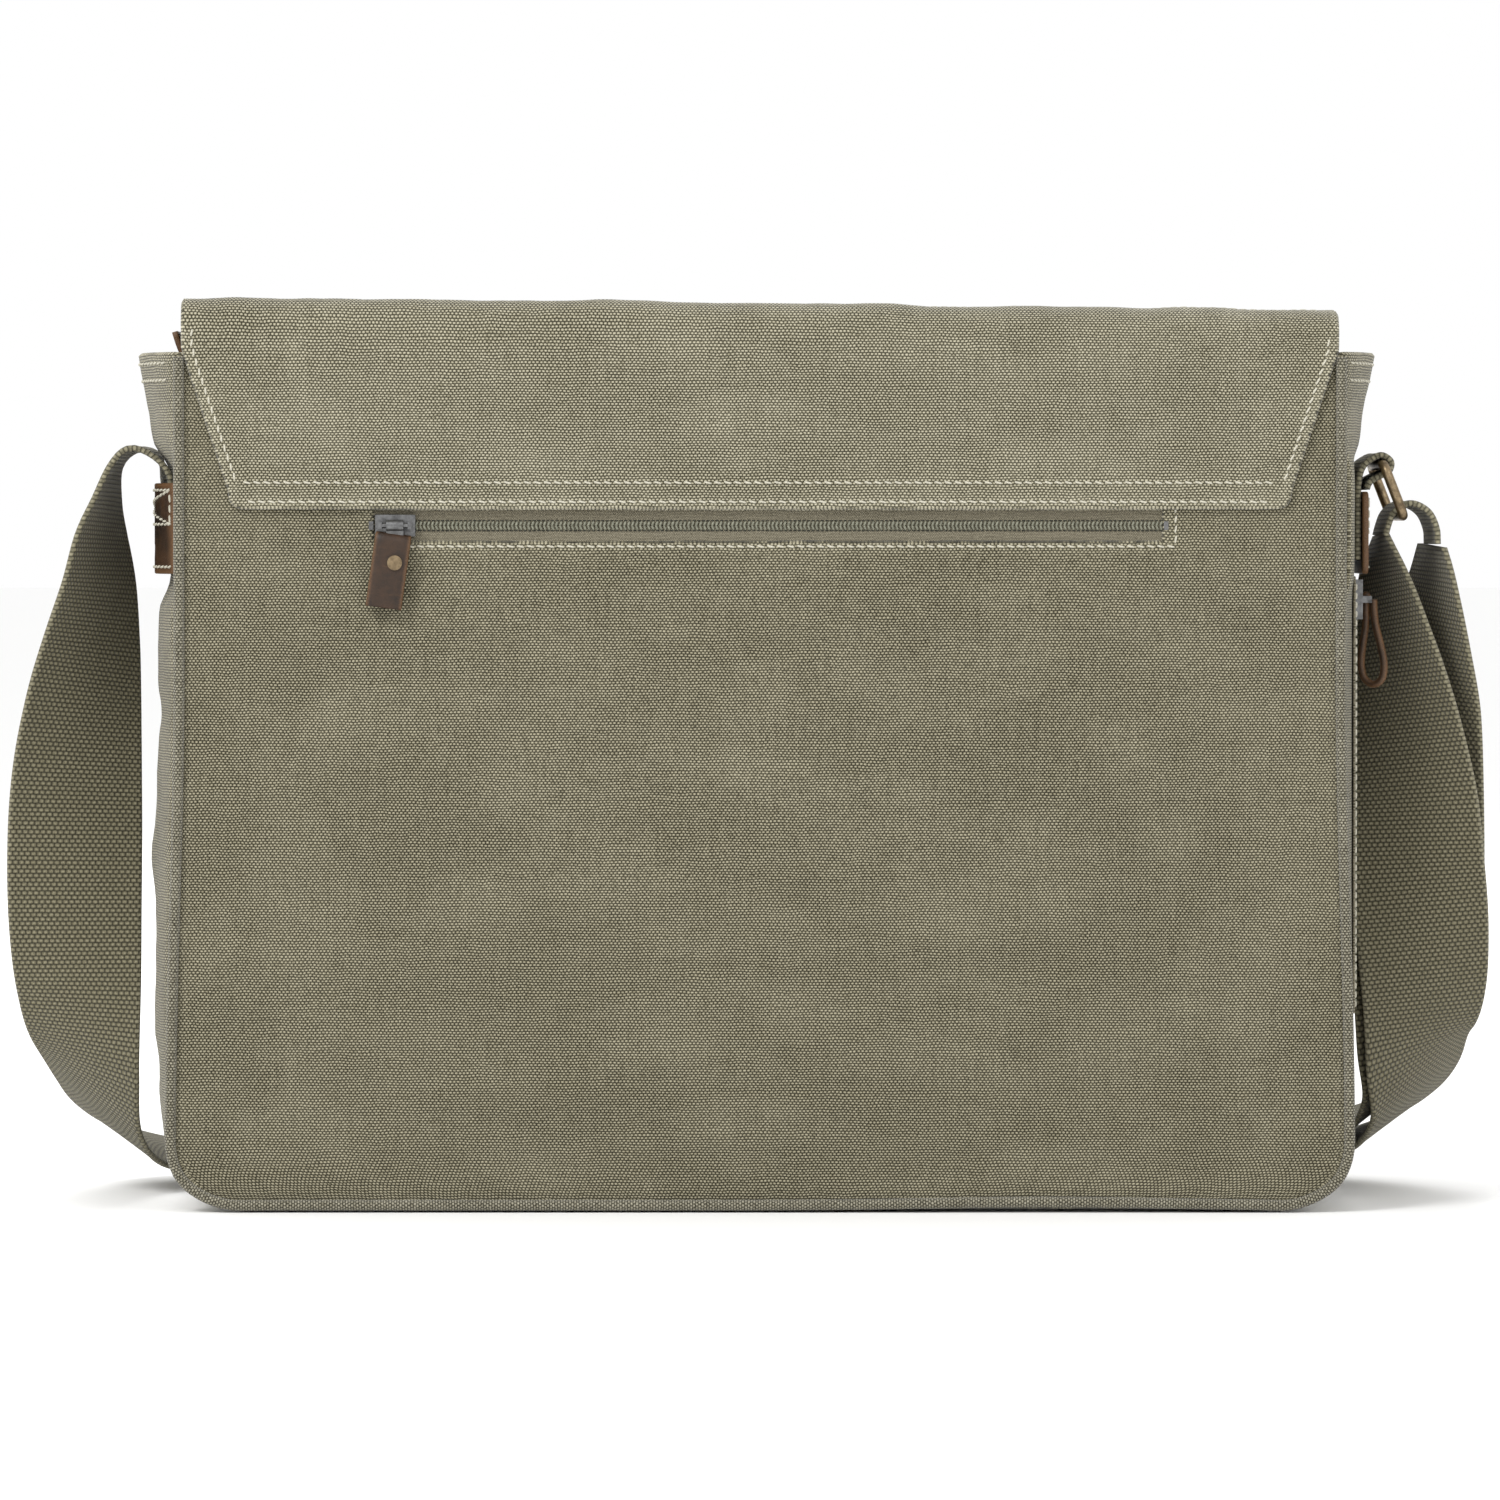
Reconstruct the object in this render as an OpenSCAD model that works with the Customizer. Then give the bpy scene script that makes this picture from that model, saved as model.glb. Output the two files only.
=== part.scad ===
// Canvas messenger bag with a wrap-over flap, zip pockets and an adjustable webbing strap.
// +Z is up, the flap's front faces -Y, and left and right are as seen from behind, so left is +X.

/* [Body] */
// Width across the side gussets at the seams
bag_w = 412; // [390:1:430]
// Height of the body from its base to the top hem
bag_h = 300; // [290:1:310]
// Depth of the body from the front panel to the back panel
bag_d = 92; // [88:1:96]
// Thickness of a lined canvas wall
wall_t = 3; // [2:0.5:3]
// Radius of the bottom corners, seen from behind
corner_r = 24; // [18:1:30]
// How far the gusset tops flare out past the seams
ear_flare = 15; // [10:1:18]
// Radius of the piped seams
piping_r = 2.2; // [1.5:0.1:2.4]

/* [Flap] */
// Width of the flap along its ridge
flap_w = 404; // [390:1:406]
// Width of the yoke along its bottom seam
yoke_w = 370; // [350:1:380]
// Height of the flap's top over the base
flap_z = 315; // [314:0.5:317]
// Length of the flap's front
flap_drop = 218; // [200:1:224]
// Thickness of the lined flap
flap_t = 2.6; // [2:0.1:2.8]

/* [Pockets] */
// Height of the front pockets
pocket_h = 178; // [150:1:185]
// Depth of the front pockets
pocket_d = 13; // [11:0.5:13]
// Length of the back pocket's zip
back_zip_len = 280; // [260:1:290]
// Length of the side pocket's zip
side_zip_len = 150; // [130:1:155]

/* [Strap] */
// Width of the shoulder strap's webbing
strap_w = 48; // [46:1:50]
// Thickness of the webbing
strap_t = 2.4; // [2:0.1:2.4]
// Wire radius of the rectangular ring
ring_wire_r = 1.75; // [1.5:0.05:1.8]

/* [Hidden] */
$fn = 48;

canvas = "#8f8a74";
canvas_dark = "#77725c";
webbing = "#6a664e";
leather = "#5a3d28";
brass = "#8a7550";
nickel = "#4a4a4a";
coil_grey = "#8b8a7a";
tape_brown = "#6f6a55";
cotton = "#b0a98f";

gap = 0.4;
back_y = 55;
front_y = back_y - bag_d;
mid_y = (back_y + front_y) / 2;
half_w = bag_w / 2;
inner_x = half_w - wall_t;
pocket_y = front_y - pocket_d;
pocket_wall = 1.6;

// The flap turns about three folds: the ridge over the back, a fold in the top and the front edge.
ridge_y = back_y + 1.3;
fold_y = 30;
front_edge_y = pocket_y - 5;
fold_gap = 4;

// The back pocket's zip
back_zip_x = -3;
back_zip_z = 240;
tape_h = 11;
tape_t = 1;
coil_h = 3;
coil_t = 1.6;
back_slider_x = 127.5;
// Height of a slider's bar over its tape
bar_h = 5.2;
// Width of a leather pull
pull_w = 12.5;

// The main zip runs level under the flap, between two bands that fold down.
band_z = 285;
band_t = 2;
band_x = 165;
main_slider_x = -184;

// The side pocket's zip stands in the right gusset, behind the strap.
side_zip_y = 28;
side_zip_top = 218;
side_x = half_w + 3;

// The strap's fittings on the gussets
tab_z0 = 223;
tab_z1 = 261;
loop_pos = [-219.5, 261.5];
bar_pos = [-226.5, 243.5];
loop_out_r = 4.3;
adjuster_x = -90;
adjuster_y = -93;
adjuster_z = 8.5;

// Closure tabs
closure_x = 105;
closure_w = 32;
closure_z = 98;
snap_z = 84;

// Each row of a strap route is a point on its centre line and the direction of its width.
STRAP_MAIN = [
    [210.4, 10, 228, 0, 1, 0], [210.4, 10, 250, 0, 1, 0], [211.4, 10, 258.5, 0, 1, 0],
    [215.5, 10, 265.5, 0, 1, 0], [223, 10, 267, 0, 1, 0], [229, 10, 261, 0, 1, 0],
    [232, 10, 249, 0.12, 1, 0], [234, 10, 236, 0.3, 0.95, 0], [235, 10, 218, 0.48, 0.88, 0],
    [237.5, 10, 198, 0.66, 0.75, 0], [240.5, 10, 176, 0.82, 0.57, 0], [243, 9, 150, 0.94, 0.34, 0],
    [244, 8, 122, 1, 0.1, 0], [244, 6, 96, 1, -0.1, 0.02], [243, 3, 72, 0.93, -0.3, 0.1],
    [241, -5, 49, 0.82, -0.5, 0.25], [238, -21, 31, 0.65, -0.7, 0.32],
    [230, -47, 18, 0.5, -0.82, 0.26], [212, -72, 10.5, 0.32, -0.92, 0.14],
    [182, -87, 6.2, 0.15, -0.97, 0.06], [148, -92, 3.2, 0.05, -1, 0], [112, -93, 1.6, 0, -1, 0],
    [60, -93, 1.3, 0, -1, 0], [0, -93, 1.3, 0, -1, 0], [-50, -93, 1.6, 0, -1, 0],
    [-66, -93, 3.4, 0, -1, 0], [-76, -93, 5, 0, -1, 0], [-81.5, -93, 8.5, 0, -1, 0],
    [-85, -93, 12.8, 0, -1, 0], [-90, -93, 14.8, 0, -1, 0], [-95, -93, 12.8, 0, -1, 0],
    [-98.5, -93, 8.5, 0, -1, 0], [-104, -93, 5, 0, -1, 0], [-120, -93, 5.2, 0, -1, 0],
    [-148, -91, 8.2, -0.05, -1, 0], [-182, -87, 14, -0.15, -0.97, 0.06],
    [-212, -72, 22, -0.32, -0.92, 0.14], [-228, -47, 32, -0.5, -0.82, 0.26],
    [-233, -21, 44, -0.65, -0.7, 0.32], [-233, -7, 59, -0.82, -0.5, 0.25],
    [-234, 0, 77, -0.93, -0.3, 0.1], [-234.5, 2.5, 98, -1, -0.1, 0.02],
    [-234.5, 4, 124, -0.98, 0.18, 0], [-235, 5, 150, -0.92, 0.38, 0],
    [-236.5, 6, 176, -0.78, 0.6, 0], [-238, 8, 200, -0.52, 0.85, 0],
    [-239, 9.5, 219, -0.28, 0.96, 0], [-239, 10, 233, -0.1, 1, 0]
];
STRAP_RETURN = [
    [-220.6, 10, 237, 0, 1, 0], [-221.5, 10.5, 222, -0.28, 0.96, 0],
    [-224, 11.5, 204, -0.48, 0.88, 0], [-227, 12, 186, -0.64, 0.77, 0],
    [-230, 12, 166, -0.78, 0.62, 0], [-232.5, 12, 142, -0.92, 0.38, 0],
    [-234, 11, 118, -0.98, 0.18, 0], [-236, 9, 94, -1, -0.1, 0.02],
    [-237, 5, 73, -0.93, -0.3, 0.1], [-236, -3, 53, -0.82, -0.5, 0.25],
    [-236, -19, 37, -0.65, -0.7, 0.32], [-229, -46, 24.5, -0.5, -0.82, 0.26],
    [-212, -72, 14, -0.32, -0.92, 0.14], [-182, -87, 7, -0.15, -0.97, 0.06],
    [-148, -91, 2.8, -0.05, -1, 0], [-120, -93, 1.3, 0, -1, 0], [-103, -93, 1.3, 0, -1, 0]
];

function unit(v) = v / norm(v);

function at(route, i) = [route[i][0], route[i][1], route[i][2]];

function wide(route, i) = [route[i][3], route[i][4], route[i][5]];

// The route's direction at point i, from its two neighbours
function along(route, i) =
    unit(at(route, min(i + 1, len(route) - 1)) - at(route, max(i - 1, 0)));

// The eight corners of the flat webbing's section at point i
function section(route, i) =
    let (t = along(route, i))
    let (n = unit(cross(wide(route, i), t)))
    let (w = cross(t, n))
    let (a = strap_w / 2, b = strap_t / 2)
    [for (c = [[a, 0.5], [a - 1, 1], [1 - a, 1], [-a, 0.5], [-a, -0.5], [1 - a, -1], [a - 1, -1], [a, -0.5]])
        at(route, i) + w * c[0] + n * c[1] * b];

// A place between p1 and p2 on the smooth curve through four rows
function between(p0, p1, p2, p3, t) =
    0.5 * (2 * p1 + (p2 - p0) * t + (2 * p0 - 5 * p1 + 4 * p2 - p3) * t * t
           + (3 * p1 - p0 - 3 * p2 + p3) * t * t * t);

// The route with more rows between its own
function smooth(route, steps) =
    let (last = len(route) - 1)
    [for (i = [0:last - 1], k = [0:steps - 1])
         between(route[max(i - 1, 0)], route[i], route[i + 1], route[min(i + 2, last)], k / steps),
     route[last]];

module ribbon(rows) {
    route = smooth(rows, 4);
    rings = len(route);
    sides = 8;
    points = [for (i = [0:rings - 1]) each section(route, i)];
    walls = [for (i = [0:rings - 2], k = [0:sides - 1])
        each [[i * sides + k, i * sides + (k + 1) % sides, (i + 1) * sides + k],
              [i * sides + (k + 1) % sides, (i + 1) * sides + (k + 1) % sides, (i + 1) * sides + k]]];
    first = [for (k = [sides - 1:-1:0]) k];
    last = [for (k = [0:sides - 1]) (rings - 1) * sides + k];
    polyhedron(points = points, faces = concat(walls, [first, last]));
}

// A box between two corners
module block(low, high) {
    translate(low) cube(high - low);
}

// An outline in X and Z, drawn out along Y from y0 to y1
module upright(y0, y1) {
    translate([0, y1, 0]) rotate([90, 0, 0]) linear_extrude(y1 - y0) children();
}

// A disc whose axis is along Y, from y0 to y1
module disc_y(x, z, r, y0, y1) {
    translate([x, y1, z]) rotate([90, 0, 0]) cylinder(r = r, h = y1 - y0);
}

// The outline of the body seen from behind, inset by d, open to the height h
module body_outline(d, h) {
    r = corner_r - d;
    union() {
        translate([-half_w + corner_r, d]) square([bag_w - 2 * corner_r, h - d]);
        translate([-half_w + d, corner_r]) square([bag_w - 2 * d, h - corner_r]);
        for (s = [-1, 1]) translate([s * (half_w - corner_r), corner_r]) circle(r);
    }
}

// A side wall's section: straight up from the corner, then flared at the top
module gusset_section() {
    outer = [[half_w, corner_r], [half_w + 2, 60], [half_w + 3, 150], [half_w + 3, 262],
             [half_w + 8, 274], [half_w + 10, 285], [half_w + ear_flare, bag_h]];
    inner = [for (i = [len(outer) - 1:-1:0]) outer[i] - [wall_t, 0]];
    polygon(concat(outer, inner));
}

module back_panel() {
    color(canvas) difference() {
        upright(back_y - wall_t, back_y) body_outline(wall_t, bag_h);
        block([back_zip_x - back_zip_len / 2, back_y - wall_t - 1, back_zip_z - tape_h / 2],
              [back_zip_x + back_zip_len / 2, back_y + 1, back_zip_z + tape_h / 2]);
    }
}

module front_panel() {
    color(canvas) upright(front_y, front_y + wall_t) body_outline(wall_t, bag_h);
}

module left_gusset() {
    color(canvas) upright(front_y, back_y) gusset_section();
}

module right_gusset() {
    color(canvas) mirror([1, 0, 0]) upright(front_y, back_y) gusset_section();
}

module base_gusset() {
    color(canvas) upright(front_y, back_y) intersection() {
        difference() {
            body_outline(0, bag_h);
            body_outline(wall_t, bag_h + 1);
        }
        translate([-half_w, 0]) square([bag_w, corner_r]);
    }
}

// A piped cord round the sides and bottom of a panel, centred on the plane y
module piping(y) {
    x = half_w - wall_t / 2;
    r = corner_r - wall_t / 2;
    z = wall_t / 2 + piping_r - 1.5;
    for (s = [-1, 1]) {
        translate([s * x, y, r + z]) cylinder(r = piping_r, h = bag_h - r - z);
        translate([s * (x - r), y, r + z]) mirror([s < 0 ? 1 : 0, 0, 0]) rotate([-90, 0, 0])
            rotate_extrude(angle = 90) translate([r, 0]) circle(piping_r);
    }
    translate([-(x - r), y, z]) rotate([0, 90, 0]) cylinder(r = piping_r, h = 2 * (x - r));
}

module back_piping() {
    color(canvas_dark) piping(back_y + piping_r);
}

module front_piping() {
    color(canvas_dark) piping(front_y - piping_r);
}

module lining() {
    d = wall_t + 0.2;
    t = 0.6;
    color(cotton) difference() {
        upright(front_y + d, back_y - d) body_outline(d, 282);
        upright(front_y + d + t, back_y - d - t) body_outline(d + t, 283);
        block([back_zip_x - back_zip_len / 2 - 6, back_y - 12, 84],
              [back_zip_x + back_zip_len / 2 + 6, back_y, 256]);
    }
}

module laptop_divider() {
    color(cotton) upright(16, 24) translate([-190, 8]) offset(r = 12) offset(delta = -12)
        square([380, 227]);
}

// A shallow tray of lining, open to the back panel behind the zip's window
module back_pocket_bag() {
    x0 = back_zip_x - back_zip_len / 2 - 4;
    x1 = back_zip_x + back_zip_len / 2 + 4;
    color(cotton) difference() {
        block([x0, back_y - 9, 88], [x1, back_y - wall_t, 252]);
        block([x0 + 1, back_y - 8.2, 89], [x1 - 1, back_y, 251]);
    }
}

module flap_yoke() {
    r = 4;
    color(canvas) upright(back_y, back_y + flap_t) union() {
        polygon([[-flap_w / 2, flap_z - 3], [-flap_w / 2 + 1, flap_z - 15], [-yoke_w / 2, 247 + r],
                 [-yoke_w / 2 + r, 247], [yoke_w / 2 - r, 247], [yoke_w / 2, 247 + r],
                 [flap_w / 2 - 1, flap_z - 15], [flap_w / 2, flap_z - 3]]);
        for (s = [-1, 1]) translate([s * (yoke_w / 2 - r), 247 + r]) circle(r);
    }
}

// A level panel of the flap between two depths
module flap_slab(y0, y1) {
    block([-flap_w / 2, y0, flap_z - flap_t / 2], [flap_w / 2, y1, flap_z + flap_t / 2]);
}

module flap_ridge() {
    color(canvas) flap_slab(fold_y + fold_gap, ridge_y - fold_gap);
}

module flap_top() {
    color(canvas) flap_slab(front_edge_y + fold_gap, fold_y - fold_gap);
}

module flap_front() {
    r = 20;
    top = flap_z - fold_gap;
    color(canvas) upright(front_edge_y - flap_t / 2, front_edge_y + flap_t / 2) union() {
        translate([-flap_w / 2, flap_z - flap_drop + r]) square([flap_w, top - flap_z + flap_drop - r]);
        translate([-flap_w / 2 + r, flap_z - flap_drop]) square([flap_w - 2 * r, flap_drop - fold_gap]);
        for (s = [-1, 1]) translate([s * (flap_w / 2 - r), flap_z - flap_drop + r]) circle(r);
    }
}

// A leather strip on the flap that ends in a round tongue below the flap's hem
module closure_tab(s) {
    y = front_edge_y - flap_t / 2 - gap;
    r = closure_w / 2;
    color(leather) upright(y - 2.4, y) union() {
        translate([s * closure_x - r, snap_z]) square([closure_w, closure_z - snap_z - 1]);
        translate([s * closure_x, snap_z]) intersection() {
            circle(r);
            translate([-r, -r]) square([closure_w, r]);
        }
    }
}

// The leather strip above a closure tab, sewn flat on the flap
module closure_strap(s) {
    y = front_edge_y - flap_t / 2 - gap;
    x = s * closure_x - closure_w / 2;
    color(leather) block([x, y - 2.4, closure_z + 1], [x + closure_w, y, closure_z + 70]);
}

module closure_rivets() {
    y = front_edge_y - flap_t / 2 - gap - 2.4;
    color(brass) for (s = [-1, 1], z = [12, 60]) disc_y(s * closure_x, closure_z + z, 4, y - 1.6, y);
}

// One half of a magnetic snap
module snap_half(s, y0, y1) {
    disc_y(s * closure_x, snap_z, 8, y0, y1);
}

module snap_stud(s) {
    y = front_edge_y - flap_t / 2 - gap;
    color(brass) snap_half(s, y, y + 3);
}

module snap_sockets() {
    y = front_edge_y - flap_t / 2 - gap + 3;
    color(brass) for (s = [-1, 1]) snap_half(s, y + gap, pocket_y);
}

module front_pocket(s) {
    x0 = s > 0 ? 4 : -190;
    x1 = x0 + 186;
    z0 = 14;
    z1 = z0 + pocket_h;
    t = pocket_wall;
    color(canvas) difference() {
        block([x0, pocket_y, z0], [x1, front_y, z1]);
        block([x0 + t, pocket_y + t, z0 + t], [x1 - t, front_y + 1, z1 + 1]);
    }
}

module back_zip_tape() {
    x0 = back_zip_x - back_zip_len / 2;
    y = back_y - 0.8 - tape_t;
    color(tape_brown) block([x0, y, back_zip_z - tape_h / 2],
                            [x0 + back_zip_len, y + tape_t, back_zip_z + tape_h / 2]);
}

module back_zip_coil() {
    reach = back_zip_len / 2 - 2;
    color(coil_grey) block([back_zip_x - reach, back_y - 0.8, back_zip_z - coil_h / 2],
                           [back_zip_x + reach, back_y - 0.8 + coil_t, back_zip_z + coil_h / 2]);
}

module back_zip_stops() {
    color(nickel) for (s = [-1, 1])
        translate([back_zip_x + s * (back_zip_len / 2 - 1) - 0.8, back_y - 0.8, back_zip_z - coil_h / 2])
            cube([1.6, coil_t, coil_h]);
}

// A zip slider about the origin: it slides along X, its face looks to +Z and its bar is along X
module slider_body() {
    half_l = 7;
    half_h = 3.8;
    lid_z = coil_t + 0.3;
    block([-half_l, -half_h, lid_z], [half_l, half_h, lid_z + 1]);
    for (s = [-1, 1]) block([-half_l, s * 3 - 0.8, 0.4], [half_l, s * 3 + 0.8, lid_z]);
    for (s = [-1, 1]) block([s * 5.2 - 0.7, -1.2, lid_z + 1], [s * 5.2 + 0.7, 1.2, bar_h + 0.9]);
    translate([-4.5, 0, bar_h]) rotate([0, 90, 0]) cylinder(r = 0.8, h = 9);
}

// The pull's link: an eye round the slider's bar and a flat tongue that the leather folds over
module pull_link() {
    translate([-3, 0, bar_h]) rotate([0, 90, 0]) difference() {
        cylinder(r = 1.9, h = 6);
        translate([0, 0, -1]) cylinder(r = 0.9, h = 8);
    }
    block([-3, -8, bar_h - 0.5], [3, -1.6, bar_h + 0.5]);
}

// Two layers of leather folded over the link, from the fold at -Y 4 to the end
module pull_tab(len, w) {
    difference() {
        block([-w / 2, -len, bar_h - 1.9], [w / 2, -4, bar_h + 1.9]);
        block([-3.1, -8.2, bar_h - 0.6], [3.1, -3, bar_h + 0.6]);
        translate([0, -13, bar_h - 3]) cylinder(r = 1.2, h = 6);
    }
}

module pull_rivet() {
    translate([0, -13, bar_h - 1.9]) cylinder(r = 1.2, h = 3.8);
    translate([0, -13, bar_h + 1.9]) cylinder(r = 2.6, h = 0.8);
}

module on_back_zip() {
    translate([back_slider_x, back_y - 0.8, back_zip_z]) rotate([90, 0, 180]) children();
}

module on_main_zip() {
    translate([main_slider_x, mid_y, band_z + band_t / 2]) rotate([0, 0, 180]) children();
}

module back_slider() {
    color(nickel) on_back_zip() slider_body();
}

module back_pull_link() {
    color(nickel) on_back_zip() pull_link();
}

module back_pull_tab() {
    color(leather) on_back_zip() pull_tab(29, pull_w);
}

module back_pull_rivet() {
    color(brass) on_back_zip() pull_rivet();
}

// A band of the main zip from its sewn edge to the coil, between two places along X
module band(x0, x1, y0, y1) {
    block([x0, y0, band_z - band_t / 2], [x1, y1, band_z + band_t / 2]);
}

module rear_zip_band() {
    color(canvas) band(-band_x, band_x, mid_y + 0.3, back_y - wall_t - 0.6);
}

module front_zip_band() {
    color(canvas) band(-band_x, band_x, front_y + wall_t + 0.6, mid_y - 0.3);
}

module rear_zip_coil() {
    color(coil_grey) block([-band_x, mid_y + 0.2, band_z + band_t / 2],
                           [band_x, mid_y + coil_h / 2, band_z + band_t / 2 + coil_t]);
}

module front_zip_coil() {
    color(coil_grey) block([-band_x, mid_y - coil_h / 2, band_z + band_t / 2],
                           [band_x, mid_y - 0.2, band_z + band_t / 2 + coil_t]);
}

module zip_end_patch() {
    color(canvas) band(-inner_x + 0.4, -band_x - 1, front_y + wall_t + 0.6, back_y - wall_t - 0.6);
}

module zip_end_coil() {
    z = band_z + band_t / 2;
    color(coil_grey) for (x = [-192, band_x + 1])
        block([x, mid_y - coil_h / 2, z], [x + 26, mid_y + coil_h / 2, z + coil_t]);
}

// The zip's leather end: level under the coil, then up past the top of the left gusset
module zip_tail() {
    color(leather) upright(mid_y - 16, mid_y + 16)
        polygon([[band_x + 1, band_z - 1], [194, band_z - 1], [201, band_z + 5], [209, band_z + 22],
                 [206.5, band_z + 23], [199, band_z + 7], [193, band_z + 1], [band_x + 1, band_z + 1]]);
}

module main_slider() {
    color(nickel) on_main_zip() slider_body();
}

module main_pull_link() {
    color(nickel) on_main_zip() pull_link();
}

module main_pull_tab() {
    color(leather) on_main_zip() pull_tab(24, pull_w);
}

module main_pull_rivet() {
    color(brass) on_main_zip() pull_rivet();
}

module side_zip_tape() {
    x = -side_x;
    z0 = side_zip_top - side_zip_len;
    color(tape_brown)
        block([x - 0.8, side_zip_y - tape_h / 2, z0], [x, side_zip_y + tape_h / 2, side_zip_top + 4]);
}

module side_zip_coil() {
    x = -side_x - 0.8;
    z0 = side_zip_top - side_zip_len;
    color(coil_grey) block([x - coil_t, side_zip_y - coil_h / 2, z0 + 2],
                           [x, side_zip_y + coil_h / 2, side_zip_top + 2]);
}

// The side slider moves along Z, and its bar lies across it so that the pull hangs down.
module on_side_zip() {
    translate([-side_x - 0.8, side_zip_y, side_zip_top - 4]) rotate([0, -90, 0]) children();
}

module side_slider() {
    lid_z = coil_t + 0.3;
    color(nickel) on_side_zip() {
        block([-7, -3.8, lid_z], [7, 3.8, lid_z + 1]);
        for (s = [-1, 1]) block([-7, s * 3 - 0.8, 0.4], [7, s * 3 + 0.8, lid_z]);
        for (s = [-1, 1]) block([-1.2, s * 3 - 0.8, lid_z + 1], [1.2, s * 3 + 0.8, lid_z + 4.2]);
        translate([0, -3, lid_z + 3.2]) rotate([-90, 0, 0]) cylinder(r = 0.8, h = 6);
    }
}

// A looped leather cord that hangs from the side slider's bar
module side_pull_loop() {
    lid_z = coil_t + 0.3;
    color(leather) on_side_zip() translate([0, 0, lid_z + 3.2]) {
        rotate([-90, 0, 0]) translate([0, 0, -1.9]) difference() {
            cylinder(r = 2.1, h = 3.8);
            translate([0, 0, -1]) cylinder(r = 0.95, h = 6);
        }
        difference() {
            hull() for (x = [-2.6, -27]) translate([x, 0, -0.9]) cylinder(r = x > -10 ? 1.6 : 4.6, h = 1.8);
            hull() for (x = [-15, -26.5]) translate([x, 0, -2]) cylinder(r = x > -20 ? 0.8 : 2.4, h = 4);
            translate([0, 3, 0]) rotate([90, 0, 0]) cylinder(r = 2.1, h = 6);
        }
    }
}

module left_strap_tab() {
    x = STRAP_MAIN[0][0] + strap_t / 2 + 0.4;
    color(leather) block([x, mid_y - 25, tab_z0], [x + 2.2, mid_y + 36, tab_z1 - 6]);
}

module right_ring_tab() {
    color(leather) block([-214.4, mid_y - 25, tab_z0], [-212.2, mid_y + 27, tab_z1 - 9]);
}

// A webbing strip sewn to the gusset that turns over the ring's upper bar
module ring_loop() {
    color(webbing) difference() {
        union() {
            translate([loop_pos[0], mid_y - 23, loop_pos[1]]) rotate([-90, 0, 0])
                cylinder(r = loop_out_r, h = 48);
            block([-212, mid_y - 23, tab_z0 + 3], [-209.6, mid_y + 25, 258]);
            upright(mid_y - 23, mid_y + 25)
                polygon([[-209.6, 258], [-212, 258], [-217.6, 257.65], [-221, 263], [-217, 265],
                         [-210.2, 260.5]]);
        }
        translate([loop_pos[0], mid_y - 30, loop_pos[1]]) rotate([-90, 0, 0]) cylinder(r = 2, h = 60);
    }
}

// A quarter turn of round wire between the upward and the +X direction
module wire_corner(r) {
    rotate([90, 0, 0]) rotate_extrude(angle = 90) translate([r, 0]) circle(ring_wire_r);
}

// A ring of round wire round a rectangle, leaning out from its upper bar to its lower one
module strap_ring() {
    lean = atan2(loop_pos[0] - bar_pos[0], loop_pos[1] - bar_pos[1]);
    h = norm(loop_pos - bar_pos);
    half = 28;
    r = 4;
    color(brass) translate([loop_pos[0], mid_y + 1, loop_pos[1]]) rotate([0, lean, 0]) rotate([0, 0, 90])
        for (m = [0, 1], n = [0, 1]) mirror([m, 0, 0]) translate([0, 0, -h / 2]) mirror([0, 0, n]) {
            translate([half - r, 0, h / 2 - r]) wire_corner(r);
            translate([0, 0, h / 2]) rotate([0, 90, 0]) cylinder(r = ring_wire_r, h = half - r);
            translate([half, 0, 0]) cylinder(r = ring_wire_r, h = h / 2 - r);
        }
}

// The webbing's turn round the ring's lower bar, with its two layers leaving downwards
module strap_fold() {
    y0 = mid_y - 23;
    y1 = mid_y + 25;
    x = bar_pos[0];
    z = bar_pos[1];
    color(webbing) difference() {
        union() {
            translate([x, y0, z]) rotate([-90, 0, 0]) cylinder(r = 4.5, h = y1 - y0);
            upright(y0, y1) polygon([[x + 4.4, z], [x + 6.9, 239], [x + 4.6, 239], [x + 2, z - 4]]);
            upright(y0, y1)
                polygon([[x - 1, z + 4.4], [x - 8, z + 3.2], [x - 12.5, z - 3], [x - 13.8, 235.5],
                         [x - 11.4, 235.5], [x - 10.2, z - 2], [x - 7, z + 1], [x - 3, z + 1.8]]);
        }
        translate([x, y0 - 1, z]) rotate([-90, 0, 0]) cylinder(r = 2, h = y1 - y0 + 2);
    }
}

module strap_main() {
    color(webbing) ribbon(STRAP_MAIN);
}

module strap_return() {
    color(webbing) ribbon(STRAP_RETURN);
}

module adjuster_frame() {
    w = 58;
    l = 37;
    color(brass) translate([adjuster_x, adjuster_y, adjuster_z - 1.5]) linear_extrude(3) difference() {
        translate([-l / 2, -w / 2]) square([l, w]);
        translate([-l / 2 + 3.5, -w / 2 + 3.5]) square([l - 7, w - 7]);
    }
}

module adjuster_bar() {
    color(brass) translate([adjuster_x, adjuster_y - 25.5, adjuster_z]) rotate([-90, 0, 0])
        cylinder(r = 1.5, h = 51);
}

module strap_end_fold() {
    color(webbing) difference() {
        translate([adjuster_x, adjuster_y - 24, adjuster_z]) rotate([-90, 0, 0]) cylinder(r = 4.2, h = 48);
        translate([adjuster_x, adjuster_y - 25, adjuster_z]) rotate([-90, 0, 0]) cylinder(r = 1.7, h = 50);
    }
    color(webbing) upright(adjuster_y - 24, adjuster_y + 24)
        polygon([[-102.5, 0.1], [-102.5, 2.5], [-98, 2.9], [-93.4, 6], [-91, 4.5], [-96.5, 0.6],
                 [-98, 0.1]]);
}

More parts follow.
